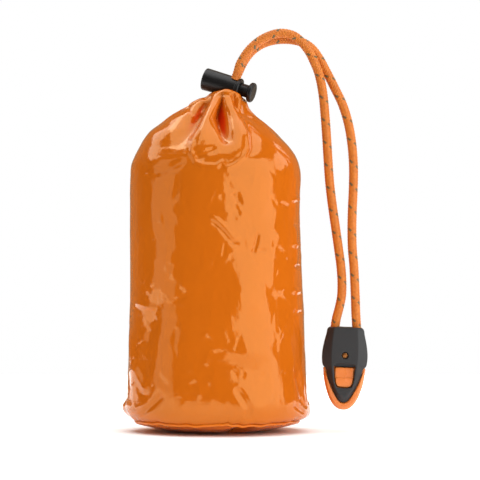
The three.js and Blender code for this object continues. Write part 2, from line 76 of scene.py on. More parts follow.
# Each softbox: azimuth from the camera (+ to the right) and elevation in degrees, distance, width and
# height in metres, and radiance
SOFTBOXES = {
    "softbox_right": (46.5, 0, 1.0, 1.22, 1.9, 2.2),
    "softbox_left": (-65, 0, 1.0, 0.63, 1.9, 0.9),
    "softbox_above": (0, 88, 1.3, 1.6, 1.6, 2.2),
    "softbox_high_left": (-118, 49, 1.1, 0.62, 0.72, 2.3),
    "softbox_high_right": (110, 30, 1.1, 0.95, 0.42, 2.0),
}


def linear(srgb_hex):
    """The linear colour, with alpha, of an sRGB hex value."""
    parts = [int(srgb_hex[i : i + 2], 16) / 255 for i in (0, 2, 4)]
    return (*(p / 12.92 if p <= 0.04045 else ((p + 0.055) / 1.055) ** 2.4 for p in parts), 1.0)


def add_node(owner, kind, inputs=None, out=None, **settings):
    """Adds a shader node, gives its sockets values or links by identifier, and returns one output."""
    tree = owner.node_tree
    node = tree.nodes.new("ShaderNode" + kind)
    for setting, value in settings.items():
        setattr(node, setting, value)
    sockets = {socket.identifier: socket for socket in node.inputs}
    for name, value in (inputs or {}).items():
        if isinstance(value, bpy.types.NodeSocket):
            tree.links.new(value, sockets[name])
        else:
            sockets[name].default_value = value
    outputs = {socket.identifier: socket for socket in node.outputs}
    return outputs[out] if out else next(iter(outputs.values()), None)


def new_material(name):
    material = bpy.data.materials.new(name)
    material.use_nodes = True
    material.node_tree.nodes.clear()
    return material


def add_piece(name, points, faces):
    """A new object in the scene with a mesh of the given points, in metres, and faces."""
    mesh = bpy.data.meshes.new(name)
    mesh.from_pydata(points, [], faces)
    piece = bpy.data.objects.new(name, mesh)
    bpy.context.collection.objects.link(piece)
    return piece


# A sprayed matt white table; it is lit from below away from the bag, so it meets the room without an edge
matt_paint = new_material("matt_white_paint_sprayed")
from_bag = add_node(matt_paint, "VectorMath", {
    "Vector": add_node(matt_paint, "TexCoord", out="Object"),
}, out="Value", operation="LENGTH")
glow_near, glow_far = (
    add_node(matt_paint, "MapRange", {
        "Value": from_bag, "From Min": starts, "From Max": ends, "To Min": low, "To Max": high,
    })
    for starts, ends, low, high in GLOWS
)
glow = add_node(matt_paint, "Math", {"Value": glow_near, "Value_001": glow_far}, operation="ADD")
add_node(matt_paint, "OutputMaterial", {"Surface": add_node(matt_paint, "BsdfPrincipled", {
    "Base Color": linear(WHITE_PAINT),
    "Roughness": 0.9,
    "Specular IOR Level": 0.1,
    "Emission Color": (1.0, 1.0, 1.0, 1.0),
    "Emission Strength": glow,
})})

table_corners = [(-1, TABLE_FRONT), (1, TABLE_FRONT), (1, TABLE_BACK), (-1, TABLE_BACK)]
floor = add_piece("floor", [(x * TABLE_HALF_WIDTH, y, -FLOOR_DROP) for x, y in table_corners], [(0, 1, 2, 3)])
floor.data.materials.append(matt_paint)

room = bpy.data.worlds.new("studio_room")
room.use_nodes = True
room.node_tree.nodes.clear()
bpy.context.scene.world = room
behind = add_node(room, "MapRange", {
    "Value": add_node(room, "SeparateXYZ", {"Vector": add_node(room, "TexCoord", out="Generated")}, out="Y"),
    "From Min": ROOM_TURNS_FROM,
    "From Max": ROOM_TURNS_TO,
    "To Min": ROOM_DARK,
    "To Max": ROOM_BEHIND,
})
add_node(room, "OutputWorld", {"Surface": add_node(room, "MixShader", {
    "Fac": add_node(room, "LightPath", out="Is Camera Ray"),
    "Shader": add_node(room, "Background", {"Color": linear(ROOM_WARMTH), "Strength": behind}),
    "Shader_001": add_node(room, "Background", {"Color": (1.0, 1.0, 1.0, 1.0), "Strength": 1.0}),
})})

for name, (azimuth, elevation, distance, width, height, radiance) in SOFTBOXES.items():
    light = bpy.data.lights.new(name, "AREA")
    light.shape = "RECTANGLE"
    light.size = width
    light.size_y = height
    light.energy = radiance * math.pi * width * height
    lamp = bpy.data.objects.new(name, light)
    turn, rise = math.radians(azimuth), math.radians(elevation)
    away = Vector((math.sin(turn) * math.cos(rise), -math.cos(turn) * math.cos(rise), math.sin(rise)))
    lamp.location = seen_middle + away * distance
    lamp.rotation_euler = away.to_track_quat("Z", "Y").to_euler()
    lamp.visible_camera = False
    bpy.context.collection.objects.link(lamp)

# Stuff sack
# A tube of coated ripstop nylon, sewn to a round base and gathered at the top by the drawcord in its
# channel hem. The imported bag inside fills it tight, and the thin coated cloth keeps every crinkle.
CLOTH = 1.2
SEAM_HEIGHT = 5.4
CAD_GAP = 0.3
RIM_LEFT, RIM_RIGHT, RIM_DEPTH = -38.2, 38.8, 36.5
SQUARENESS = 2.15
SACK_RADIUS = 40.0
SACK_AROUND, SACK_STEP = 312, 0.62
FRONT_CROWDING = 16
LOCK_LEFT_END = np.array([-5.6, 3.9, 163.2])
LOCK_AXIS = np.array([0.926, -0.26, -0.272])
LOCK_AXIS /= np.linalg.norm(LOCK_AXIS)
PIT_BOTTOM = [5.3, 0, 153.2]

# The base bulges from a flat spot, a share of its reach that grows to the back, and has one fold that
# starts, is full and fades at shares of its reach
BASE_FLAT, FLAT_GROWS = 0.44, 0.06
BASE_BULGE = 1.6
FOLD_BEARING, FOLD_WIDTH, FOLD_LIFT = 23, 9, 3
FOLD_STARTS, FOLD_FULL, FOLD_FADES = 0.38, 0.72, 0.8

# The seam draws in the cloth from the first of these shares of the base's reach to the second. Its waves
# are given as height, number round the base and phase; its swells, and those of the crest, as height,
# bearing and width in degrees.
SEAM_FROM, SEAM_FULL = 0.86, 0.97
SEAM_WAVES = [(0.20, 7, 1), (0.16, 17, 2), (0.12, 31, 0)]
SEAM_SWELLS = [(0.8, 7, 1.6), (-0.56, 18, 3)]
CREST_ROW = 22
CREST_SWELLS = [(1.1, -6, 30), (-4.6, 86, 34)]

# The seam's puckers end between these heights. Each main fold fades in and out over these shares of its
# length, and all of them fade where the mouth's half width is under the last value.
PUCKERS_END = (6, 12)
MAIN_FOLD_BEGINS, MAIN_FOLD_ENDS = (-0.15, 0.2), (0, 0.55)
NARROW_MOUTH = 9

# Outlines of the wall from the base seam to the crest and down into the pit where the lock lies:
# height, left, right, front, back
SECTIONS = np.array([
    (6.2, -39.2, 40.4, -36.8, 36.8),
    (7.8, -40.6, 42.2, -37.3, 37.3),
    (11, -41.9, 42.6, -37.8, 37.9),
    (17, -41.4, 42, -38, 38),
    (27, -40.9, 41.5, -37.7, 37.8),
    (40, -40.7, 40.8, -37.3, 37.7),
    (56, -40.3, 40.4, -37.2, 37.4),
    (74, -40.2, 39.5, -37, 37.2),
    (92, -40.2, 38.6, -36.8, 37),
    (108, -40, 38.8, -36.6, 36.8),
    (118, -39.8, 39, -36, 36.4),
    (123, -39.4, 38.3, -34.9, 35.2),
    (127.5, -37.7, 36.6, -33.2, 33.4),
    (131.5, -35.7, 33.8, -30.8, 31),
    (135.3, -33.6, 30.4, -28.2, 28.4),
    (139, -30.9, 27, -25.2, 25.4),
    (142.6, -26.6, 23, -21.8, 22.2),
    (146, -22.4, 18.8, -18.4, 18.8),
    (149.2, -16.6, 16, -15, 15.2),
    (152, -10.8, 14.9, -11.8, 11.6),
    (154.6, -5.6, 14.1, -9.6, 9.4),
    (156.6, -2.6, 13, -8.3, 8.4),
    (157.4, -0.8, 11.4, -6.9, 7.2),
    (156.2, 0.6, 10, -5.2, 5.6),
    (154.2, 2.6, 8, -3, 3.4),
])

# Main folds: height where each starts and ends, its bearing at each (degrees from the front, + to the
# right), depth in mm (+ ridge, - trough) and half width in degrees
FOLDS = [
    (156, 134, 62, 54, -1.9, 10),
    (155, 132, 86, 80, -2.4, 9),
    (156, 136, 112, 117, -3.4, 10),
    (156, 130, 141, 148, -4.2, 9),
    (156, 134, 170, 176, -5, 10),
    (156, 131, 203, 209, -4, 9),
    (156, 136, 233, 236, -3.4, 10),
    (155, 134, 262, 264, -3, 9),
    (155, 138, 291, 284, -2.4, 9),
    (60, 4, -44, -62, -1.1, 7),
    (48, 6, -76, -56, 0.9, 7),
    (30, 5, 62, 70, -1.2, 6),
    (13.5, 3, -93, -93, 1.6, 8),
    (14, 2, 92, 92, 0.9, 8),
    (70, 5, 148, 131, -1.6, 7),
    (58, 4, 214, 232, -1.7, 7),
    (104, 40, 176, 190, -1.2, 8),
]

# Pleats of the drawn mouth at the front: (x, height, depth, half width to the left, and to the
# # right) down each one, in mm
PLEAT_FADE, PLEAT_SHARPNESS = 3, 1.7
PLEATS = [
    [(2.2, 156.5, 0, 0.5, 0.5), (2.3, 154.5, -1.6, 0.6, 0.7), (2.4, 152, -4, 1.0, 1.0),
     (2.4, 148, -8.5, 1.9, 2.1), (2.4, 144.5, -10.5, 2.5, 2.7), (3.0, 140, -8.5, 1.9, 2.5),
     (3.9, 136, -4.5, 1.4, 2.6), (4.7, 131.7, 0, 1.2, 2.6)],
    [(-1.2, 157, 0, 1.5, 2), (-1.6, 152, 1.5, 2.2, 2.2), (-3.6, 146, 2.4, 2.8, 2.8),
     (-6, 139.5, 2.4, 4, 4), (-7, 133, 1.4, 5, 5), (-6, 126, 0, 5, 5)],
    [(5.8, 156.5, 0, 2, 2), (7.0, 150.5, 1.4, 2.6, 2.2), (9.0, 144, 2.2, 3.4, 3.2),
     (10.9, 137.7, 2.2, 4, 3.6), (10.5, 131, 1.2, 4, 4), (9, 125, 0, 4, 4)],
    [(7.6, 157, 0, 0.7, 0.7), (8.9, 153.4, -2.4, 1.0, 1.4), (9.6, 150.3, -3.6, 1.0, 1.8),
     (10.8, 148, -3.2, 1.0, 2.2), (13.4, 144.8, -1.8, 1.1, 3), (15.8, 138.5, -1.2, 1.2, 3.4),
     (16.0, 131, -0.7, 1.2, 3), (13.5, 126, 0, 1.2, 3)],
    [(-2.2, 156, 0, 0.9, 0.7), (-3.8, 153, -3, 1.6, 0.8), (-6.4, 149.6, -6.5, 2.4, 1.2),
     (-8.6, 145.4, -7.5, 3.2, 1.5), (-11.3, 140, -5, 4, 2.0), (-14.8, 135, -2.4, 5, 3.0),
     (-18.9, 131, -0.8, 6, 4.2), (-25, 125, 0, 7, 6)],
]

# Soft dents and swells of the filled front: x, height, depth (+ out), half width, half height
DENTS = [
    (9, 112, -0.7, 9, 13),
    (15.5, 64, 1.1, 9, 9),
    (17.4, 39, 0.9, 8, 7),
    (9, 31, -0.7, 9, 7),
    (29.4, 89.5, 0.8, 8, 6),
    (28.5, 60, -0.7, 6, 8),
    (33, 17, 0.8, 9, 9),
    (16.5, 13, 1.1, 10, 7),
    (-30, 100, 0.5, 6, 10),
    (-31, 50, -0.5, 6, 9),
]

# Creases on the front: points as (x, height), then depth in mm (+ ridge) and half width in mm
CREASES = [
    ([(-13.2, 151), (-11.8, 148.8), (-9.9, 146)], -0.5, 0.8),
    ([(8.6, 154.2), (10.6, 154.8), (13, 155.2)], -0.4, 0.7),
    ([(-13.8, 151.8), (-9, 152.4), (-4.8, 153)], 0.9, 1.9),
    ([(-5.0, 152.6), (-7.2, 147.4)], -0.9, 0.7),
    ([(0.2, 155.3), (2.6, 156.0), (6.6, 155.7), (9, 154.4)], -0.6, 0.5),
    ([(-7.8, 141.2), (-10.6, 134.2), (-11.2, 129.6), (-9.4, 125), (-5.4, 123.5), (0.4, 123.2), (2.7, 125),
      (5, 122.3), (8.6, 123.8), (12.6, 127.3), (14.7, 131.3), (14.4, 136.6), (12, 143.5), (8.6, 149.3)],
     0.75, 0.9),
    ([(-9.6, 125.4), (-4.6, 129.1), (0.9, 131.3)], -0.5, 1.6),
    ([(-34.8, 128.4), (-34.3, 123.7), (-32.2, 120.8), (-28.2, 120), (-24, 120.8), (-18.8, 123.7),
      (-12.4, 126.7)], -0.7, 1.8),
    ([(-3.6, 101.2), (0.4, 98.3), (4.5, 94.3), (7.4, 90.2), (10.9, 89.3)], 0.7, 1.1),
    ([(-3.0, 99.0), (1.4, 96.0), (5.0, 92.0), (8.0, 88.5), (11.4, 87.6)], -0.6, 1.1),
    ([(7.4, 111), (10.6, 106.4)], -0.6, 0.9),
    ([(9.6, 111.6), (11.8, 105)], -0.5, 0.8),
    ([(19.3, 93.6), (18.6, 89), (16.7, 82.5)], -0.7, 0.9),
    ([(19.3, 84.9), (23.1, 84.3)], -0.4, 0.8),
    ([(29, 106.4), (33.6, 103.9)], -0.5, 0.8),
    ([(34.4, 107.2), (36.6, 107.8), (38.8, 107)], 0.7, 0.9),
    ([(35, 96.2), (37, 95.2), (38.7, 95.6)], -0.6, 0.8),
    ([(34.2, 87.6), (36.6, 86.4), (38.9, 86.8)], 0.6, 0.8),
    ([(35.4, 76.2), (37.4, 77), (39.3, 76)], -0.6, 0.8),
    ([(34.8, 66.4), (37, 65.2), (39.6, 65.4)], 0.6, 0.8),
    ([(35.6, 56.2), (37.8, 55.2), (40, 55.8)], -0.5, 0.7),
    ([(34.6, 101), (36, 92), (36.4, 82), (36, 72)], 0.45, 1.1),
    ([(-37.7, 60.5), (-32.2, 58.8), (-27.1, 58.1)], 0.7, 1.0),
    ([(-38.3, 31.7), (-34.5, 24.3), (-31.6, 18.8)], 0.8, 1.6),
    ([(-24.1, 19.2), (-29.8, 13.3), (-35.3, 8.1)], -0.7, 1.3),
    ([(34.9, 14), (40.8, 8.8)], -0.6, 0.7),
    ([(37.9, 16.8), (41.7, 11.2)], -0.6, 0.7),
    ([(36.3, 15.8), (41.2, 10)], 0.5, 0.6),
    ([(8.6, 22.8), (12.3, 17.7), (14.9, 12.4), (14.4, 7.2)], -0.6, 1.5),
]

# Crinkle of the coated cloth: depth, width and height of its features in mm, and seed. The sharp kind
# pulls the cloth in but for narrow ridges, whose height is the second value.
SOFT_CRINKLES = [(0.46, 23, 42, 3.1), (0.12, 12, 28, 7.7)]
SHARP_CRINKLES = [(0.27, 0.08, 9, 24, 21.3), (0.13, 0.04, 4.5, 9, 33.9)]
CALM_ABOVE_SEAM, CALM_TO_CROWN, CROWN_CALM = (6.5, 12), (112, 127), 0.8

# Short strokes pressed into the cloth, drawn at random within these ranges, in mm
STROKE_SEED, STROKE_COUNT = 11, 420
STROKE_LEAN = math.radians(26)
STROKE_HEIGHTS, STROKE_LENGTHS = (8, 122), (5, 17)
STROKE_WIDTHS, STROKE_DEPTHS = (0.7, 1.7), (0.06, 0.22)

# Room for the cord lock: radius at its barrel and at its button, and where along it the barrel ends
ROOM_AT_BARREL, ROOM_AT_BUTTON = 5.7, 5.4
ROOM_STARTS, BARREL_ENDS, ROOM_ENDS = -1.0, 17.2, 26.5

# Deep pleats get painted shade, a redder colour and less shine, from the first of these depths to the second,
# at most the last share
RED_FROM, RED_FULL, RED_SHARE = 3, 8.5, 0.85
RIPSTOP_SQUARE, RIPSTOP_THREAD = 5.0, 0.18


def smoothstep(value, low, high):
    t = np.clip((value - low) / (high - low), 0.0, 1.0)
    return t * t * (3 - 2 * t)


def unit(vectors):
    """The vectors, each brought to length 1."""
    return vectors / np.linalg.norm(vectors, axis=-1, keepdims=True)


def lengths_along(points):
    """How far along a chain of points each one lies."""
    return np.insert(np.cumsum(np.linalg.norm(np.diff(points, axis=0), axis=1)), 0, 0)


def swell(bearing, middle, width):
    """A smooth swell round a middle bearing, from 1 there to 0 far from it."""
    off = np.mod(bearing - middle + 180, 360) - 180
    return np.exp(-((off / width) ** 2))


def swells(bearing, table):
    return sum(high * swell(bearing, middle, width) for high, middle, width in table)


def squared_reach(sine, cosine, squareness):
    """Reach of a circle of radius 1 that is squared off, or left round where squareness is 2."""
    return (np.abs(sine) ** squareness + np.abs(cosine) ** squareness) ** (-1 / squareness)


def base_point(reach_out, bearing, above):
    """The base panel's own curve: a flat spot on the floor, then bulging up to the seam, with one fold."""
    turn = np.radians(bearing)
    flat = BASE_FLAT - FLAT_GROWS * np.cos(turn)
    rise = np.clip((reach_out - flat) / (1 - flat), 0, 1) ** BASE_BULGE
    fold = FOLD_LIFT * swell(bearing, FOLD_BEARING, FOLD_WIDTH)
    fold = fold * smoothstep(reach_out, FOLD_STARTS, FOLD_FULL) * (1 - smoothstep(reach_out, FOLD_FADES, 1.0))
    x = (RIM_LEFT + RIM_RIGHT) / 2 * reach_out + np.sin(turn) * (RIM_RIGHT - RIM_LEFT) / 2 * reach_out
    y = -np.cos(turn) * RIM_DEPTH * reach_out
    return np.stack([x, y, (SEAM_HEIGHT - CLOTH) * rise + fold + above], axis=-1)


def seam_wave(bearing):
    """How far the sewn seam puckers up or down round the base."""
    turn = np.radians(bearing)
    waves = sum(high * np.sin(count * turn + phase) for high, count, phase in SEAM_WAVES)
    return waves + swells(bearing, SEAM_SWELLS)


def section_at(place):
    """Height, left, right, front and back of the wall, read smoothly between the rows."""
    last = len(SECTIONS) - 1
    i = np.clip(np.floor(place).astype(int), 0, last - 1)
    t = (place - i)[:, None]
    a, b, c, d = (SECTIONS[np.clip(i + k, 0, last)] for k in (-1, 0, 1, 2))
    return 0.5 * (2 * b + (c - a) * t + (2 * a - 5 * b + 4 * c - d) * t**2 + (3 * b - a - 3 * c + d) * t**3)


def fold_depth(height, bearing):
    """How far the main folds push the wall out (+) or in (-)."""
    depth = np.zeros(np.broadcast(height, bearing).shape)
    for start, end, bearing_start, bearing_end, deep, width in FOLDS:
        along = (start - height) / (start - end)
        middle = bearing_start + (bearing_end - bearing_start) * along
        fade = smoothstep(1 - along, *MAIN_FOLD_ENDS) * smoothstep(along, *MAIN_FOLD_BEGINS)
        depth += deep * fade * swell(bearing, middle, width)
    return depth


def pleat_depth(x, height):
    """How far the front pleats push the wall out (+) or in (-), radially."""
    depth = np.zeros(x.shape)
    for rows in PLEATS:
        spine, levels, *shape = np.array(rows[::-1], dtype=float).T
        middle, lean, deep, left_width, right_width = (
            np.interp(height, levels, values) for values in (spine, np.gradient(spine, levels), *shape)
        )
        off = (x - middle) / np.sqrt(1 + lean**2)
        width = np.where(off < 0, left_width, right_width)
        inside = smoothstep(height, levels[0], levels[0] + PLEAT_FADE)
        depth += inside * deep * np.exp(-((np.abs(off) / width) ** PLEAT_SHARPNESS))
    return depth


def wall_rings(places, bearing):
    """Rings of the wall at the given row places; the folds fade out where the mouth is narrow."""
    height, left, right, front, back = section_at(places).T[:, :, None]
    turn = np.radians(bearing)
    sine, cosine = np.sin(turn), -np.cos(turn)
    reach = squared_reach(sine, cosine, SQUARENESS)
    half_width = (right - left) / 2
    flat_x = (left + right) / 2 + sine * half_width * reach
    fold = fold_depth(height, bearing) + np.where(cosine < 0, pleat_depth(flat_x, height + 0 * flat_x), 0)
    fold = fold * np.minimum(1, half_width / NARROW_MOUTH)
    fold = fold * (1 - smoothstep(places, CREST_ROW, CREST_ROW + 1))[:, None]
    near_crest = smoothstep(places, CREST_ROW - 2.5, CREST_ROW + 0.5)[:, None]
    x = (left + right) / 2 + sine * (half_width * reach + fold)
    y = (front + back) / 2 + cosine * ((back - front) / 2 * reach + fold)
    return np.stack([x, y, height + near_crest * swells(bearing, CREST_SWELLS)], axis=-1)


def outward(points):
    """Unit normals of closed rings of points that run anticlockwise and up."""
    around = np.roll(points, -1, axis=1) - np.roll(points, 1, axis=1)
    normal = np.cross(around, np.gradient(points, axis=0))
    return normal / np.maximum(np.linalg.norm(normal, axis=2, keepdims=True), 1e-9)


def tube_faces(rows, around):
    """Faces between rings of points, numbered ring by ring."""
    row, k = np.meshgrid(np.arange(rows - 1), np.arange(around), indexing="ij")
    here, beside = row * around + k, row * around + (k + 1) % around
    return np.stack([here, beside, beside + around, here + around], axis=-1).reshape(-1, 4)


def ring_mesh(name, rings, low_pole, high_pole, around_mm=None, along_mm=None):
    """A closed mesh, in metres, through rings of points in mm, with a fan of faces at each end."""
    rows, around = rings.shape[:2]
    points = np.vstack([rings.reshape(-1, 3), low_pole, high_pole]) * MM
    quads = tube_faces(rows, around)
    k = np.arange(around)
    low, high = rows * around, rows * around + 1
    low_fan = np.stack([np.full(around, low), (k + 1) % around, k], axis=-1)
    top = (rows - 1) * around
    high_fan = np.stack([np.full(around, high), top + k, top + (k + 1) % around], axis=-1)
    piece = add_piece(name, points.tolist(), [*quads.tolist(), *low_fan.tolist(), *high_fan.tolist()])
    if around_mm is not None:
        corners = [(0, 0), (0, 1), (1, 1), (1, 0)]
        quad_uv = np.stack([
            np.stack([side[i : rows - 1 + i, j : around + j] for side in (around_mm, along_mm)], axis=-1)
            for i, j in corners
        ], axis=2).reshape(-1, 2)
        fan_uv = np.zeros((6 * around, 2))
        uv = piece.data.uv_layers.new(name="cloth_mm")
        uv.uv.foreach_set("vector", np.vstack([quad_uv, fan_uv]).astype(np.float32).ravel())
    piece.data.shade_smooth()
    return piece


def crease_depth(x, height, line, depth, width):
    """Depth of one listed crease, which fades at both ends."""
    line = np.array(line, dtype=float)
    begun = lengths_along(line)
    nearest = np.full(x.shape, np.inf)
    along = np.zeros(x.shape)
    for i, length in enumerate(np.diff(begun)):
        step = (line[i + 1] - line[i]) / length
        t = np.clip((x - line[i, 0]) * step[0] + (height - line[i, 1]) * step[1], 0, length)
        away = np.hypot(x - line[i, 0] - t * step[0], height - line[i, 1] - t * step[1])
        closer = away < nearest
        nearest = np.where(closer, away, nearest)
        along = np.where(closer, begun[i] + t, along)
    share = along / begun[-1]
    fade = smoothstep(share, -0.02, 0.22) * smoothstep(1 - share, -0.02, 0.22)
    return depth * fade * np.exp(-((nearest / width) ** 2))


def noise_field(points, across, upright, seed):
    """Smooth random heights from about -1 to 1, with features of the given sizes in mm."""
    place = points / np.array([across, across, upright]) + seed
    flat = place.reshape(-1, 3)
    return np.array([noise.noise(p) for p in flat.tolist()]).reshape(points.shape[:2])


def stroke_depth(arc, height):
    """Short tear-shaped crinkles, mostly upright, scattered over the wall."""
    rng = np.random.default_rng(STROKE_SEED)
    depth = np.zeros(arc.shape)
    girth = 2 * math.pi * SACK_RADIUS
    for _ in range(STROKE_COUNT):
        middle, low = rng.uniform(0, girth), rng.uniform(*STROKE_HEIGHTS)
        lean, length = rng.normal(0, STROKE_LEAN), rng.uniform(*STROKE_LENGTHS)
        width, deep = rng.uniform(*STROKE_WIDTHS), rng.uniform(*STROKE_DEPTHS) * rng.choice([-1, 1])
        off = np.mod(arc - middle + girth / 2, girth) - girth / 2
        near = (np.abs(off) < length + 4) & (np.abs(height - low) < length + 4)
        along = (off[near] * math.sin(lean) + (height[near] - low) * math.cos(lean)) / length
        across = off[near] * math.cos(lean) - (height[near] - low) * math.sin(lean)
        taper = smoothstep(along, 0, 0.25) * smoothstep(1 - along, 0, 0.6)
        depth[near] += deep * taper * np.exp(-((across / (width * (1.25 - 0.7 * along.clip(0, 1)))) ** 2))
    return depth


around_share = np.arange(SACK_AROUND) / SACK_AROUND
bearing = 360 * around_share - FRONT_CROWDING * np.sin(2 * math.pi * around_share)
fine_places = np.linspace(0, len(SECTIONS) - 1, 2000)
fine = section_at(fine_places)
fine_radius = (fine[:, 2] - fine[:, 1] + fine[:, 4] - fine[:, 3]) / 4
fine_along = lengths_along(np.stack([fine[:, 0], fine_radius], axis=-1))
row_count = round(fine_along[-1] / SACK_STEP)
places = np.interp(np.linspace(0, fine_along[-1], row_count), fine_along, fine_places)

under = [base_point(reach_out, bearing, CLOTH + CAD_GAP) for reach_out in np.linspace(0.1, 1, 16)]
cloth = np.concatenate([under, wall_rings(places, bearing)])
wall = np.arange(len(cloth)) >= len(under)
arc = np.broadcast_to(np.radians(bearing) * SACK_RADIUS, cloth.shape[:2])
reach = np.hypot(cloth[:, :, 0] / SACK_RADIUS, cloth[:, :, 1] / RIM_DEPTH)
near_seam = smoothstep(reach, SEAM_FROM, SEAM_FULL) * (1 - smoothstep(cloth[:, :, 2], *PUCKERS_END))
cloth[:, :, 2] += seam_wave(bearing) * near_seam
height = cloth[:, :, 2]
relief = sum(deep * noise_field(cloth, *feature) for deep, *feature in SOFT_CRINKLES)
for deep, between, *feature in SHARP_CRINKLES:
    relief += between - deep * np.abs(noise_field(cloth, *feature))
calm = smoothstep(height, *CALM_ABOVE_SEAM) * (1 - CROWN_CALM * smoothstep(height, *CALM_TO_CROWN))
relief = relief * calm + stroke_depth(arc, height)
front = cloth[:, :, 1] < 0
for middle, level, depth, half_width, half_height in DENTS:
    off = ((cloth[:, :, 0] - middle) / half_width) ** 2 + ((height - level) / half_height) ** 2
    relief += np.where(front, depth * np.exp(-off), 0)
for line, depth, width in CREASES:
    relief += np.where(front, crease_depth(cloth[:, :, 0], height, line, depth, width), 0)
relief *= wall[:, None]
row_of = np.concatenate([np.zeros(len(under)), places])
relief *= (1 - smoothstep(row_of, CREST_ROW - 1.5, CREST_ROW + 0.5))[:, None]
cloth = cloth + outward(cloth) * relief[:, :, None]

# The cloth lies round the cord lock, half a millimetre from it
from_end = cloth - LOCK_LEFT_END
along_lock = from_end @ LOCK_AXIS
from_axis = from_end - along_lock[:, :, None] * LOCK_AXIS
away = np.linalg.norm(from_axis, axis=2)
room_radius = np.where(along_lock > BARREL_ENDS, ROOM_AT_BUTTON, ROOM_AT_BARREL)
in_room = (away < room_radius) & (along_lock > ROOM_STARTS) & (along_lock < ROOM_ENDS)
stretch = np.where(in_room & wall[:, None], room_radius / np.maximum(away, 1e-6), 1.0)
cloth = cloth + from_axis * (stretch - 1)[:, :, None]

steps = np.linalg.norm(np.diff(cloth, axis=0), axis=2).mean(axis=1)
along_mm = np.broadcast_to(np.insert(np.cumsum(steps), 0, 0)[:, None], (len(cloth), SACK_AROUND + 1))
around_mm = np.broadcast_to(np.radians(np.append(bearing, 360)) * SACK_RADIUS, along_mm.shape)
sack = ring_mesh("stuff_sack", cloth, [0, 0, CLOTH + CAD_GAP], PIT_BOTTOM, around_mm, along_mm)

# Painted shade: how much red shade, with less shine, is painted on each point of the deep front pleats
in_pleat = smoothstep(-pleat_depth(cloth[:, :, 0], cloth[:, :, 2]), RED_FROM, RED_FULL)
deep_share = RED_SHARE * in_pleat * (cloth[:, :, 1] < 0) * wall[:, None]
painted_fold_shade = sack.data.attributes.new("painted_fold_shade", "FLOAT", "POINT")
painted_fold_shade.data.foreach_set("value", np.append(deep_share.ravel(), [0, 0]).astype(np.float32))


def coated_ripstop_nylon(name, dyes_and_painted_light):
    """Nylon woven with a ripstop square every 5 mm and coated with polyurethane: near mirror-smooth, so
    the softboxes show as hard-edged bands with an orange cast, and the thread grid only just shows. Deep
    pleats get painted shade: a deep red colour and less shine."""
    nylon = new_material(name)
    cloth_mm = add_node(nylon, "UVMap", uv_map="cloth_mm")
    place = add_node(nylon, "TexCoord", out="Object")
    squares = add_node(nylon, "TexBrick", {
        "Vector": cloth_mm, "Scale": 1.0, "Mortar Size": RIPSTOP_THREAD, "Mortar Smooth": 1.0,
        "Brick Width": RIPSTOP_SQUARE, "Row Height": RIPSTOP_SQUARE,
    }, out="Fac", offset=0.0)
    handled = add_node(nylon, "TexNoise", {"Vector": place, "Scale": 55.0, "Detail": 3.0})
    cloth_colour = add_node(nylon, "Mix", {
        "Factor_Float": handled, "A_Color": linear(dyes_and_painted_light[0]), "B_Color": linear(dyes_and_painted_light[1]),
    }, out="Result_Color", data_type="RGBA")
    # Painted shade: in the deep pleats the colour turns deep red and the shine drops
    in_fold = add_node(nylon, "Attribute", out="Fac", attribute_name="painted_fold_shade")
    fold_painted_shade_colour = add_node(nylon, "Mix", {
        "Factor_Float": in_fold, "A_Color": cloth_colour, "B_Color": linear("DC2A08"),
    }, out="Result_Color", data_type="RGBA")
    crumple = add_node(nylon, "TexNoise", {"Vector": place, "Scale": 420.0, "Detail": 3.0, "Roughness": 0.45})
    crumple_bump = add_node(nylon, "Bump", {"Height": crumple, "Strength": 0.3, "Distance": 0.2 * MM})
    thread_bump = add_node(nylon, "Bump", {
        "Height": squares, "Strength": 0.08, "Distance": 0.08 * MM, "Normal": crumple_bump,
    })
    shader = add_node(nylon, "BsdfPrincipled", {
        "Base Color": fold_painted_shade_colour,
        "Roughness": add_node(nylon, "MapRange", {"Value": handled, "To Min": 0.05, "To Max": 0.09}),
        "IOR": 1.5,
        "Specular IOR Level": add_node(nylon, "MapRange", {"Value": in_fold, "To Min": 0.95, "To Max": 0.12}),
        "Specular Tint": linear("FFDC93"),
        "Normal": thread_bump,
    })
    add_node(nylon, "OutputMaterial", {"Surface": shader})
    return nylon


sack.data.materials.append(coated_ripstop_nylon("coated_ripstop_nylon_woven", ("D06913", "C86310")))
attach(sack, "bag")
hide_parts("sack")

# Hem stitches
# One row of lockstitch in orange polyester thread, which closes the channel hem over the drawcord. Each
# stitch is a short raised thread, pulled into the cloth at both ends.
STITCH_LENGTH, STITCH_PITCH = 2.1, 3.0
STITCH_RADIUS = 0.2
STITCH_AROUND = 8
STITCH_TAPER = np.array([0.5, 0.9, 1.0, 1.0, 1.0, 0.9, 0.5])
STITCH_ARCH, STITCH_SUNK = 1.6, 0.9
HEM_ROW, HEM_ROW_SWING = 19.0, 1.2
HEM_LEFT_END, HEM_RIGHT_END = -52.0, 62.0
HEM_SAMPLES, HEM_SMOOTHED = 1500, 9


def once_round(count):
    """Cosines and sines of angles spaced evenly once round."""
    turn = 2 * math.pi * np.arange(count) / count
    return np.cos(turn), np.sin(turn)


def thread_stitch(start, end, normal):
    """Rings of one stitch: a short thread, sunk into the cloth at both ends."""
    cosine, sine = once_round(STITCH_AROUND)
    ring = cosine[:, None] * normal - sine[:, None] * np.cross(unit(end - start), normal)
    share = np.linspace(0, 1, len(STITCH_TAPER))
    lift = STITCH_RADIUS * (STITCH_ARCH * np.sin(math.pi * share) - STITCH_SUNK)
    middle = start + share[:, None] * (end - start) + lift[:, None] * normal
    return middle[:, None] + STITCH_RADIUS * STITCH_TAPER[:, None, None] * ring


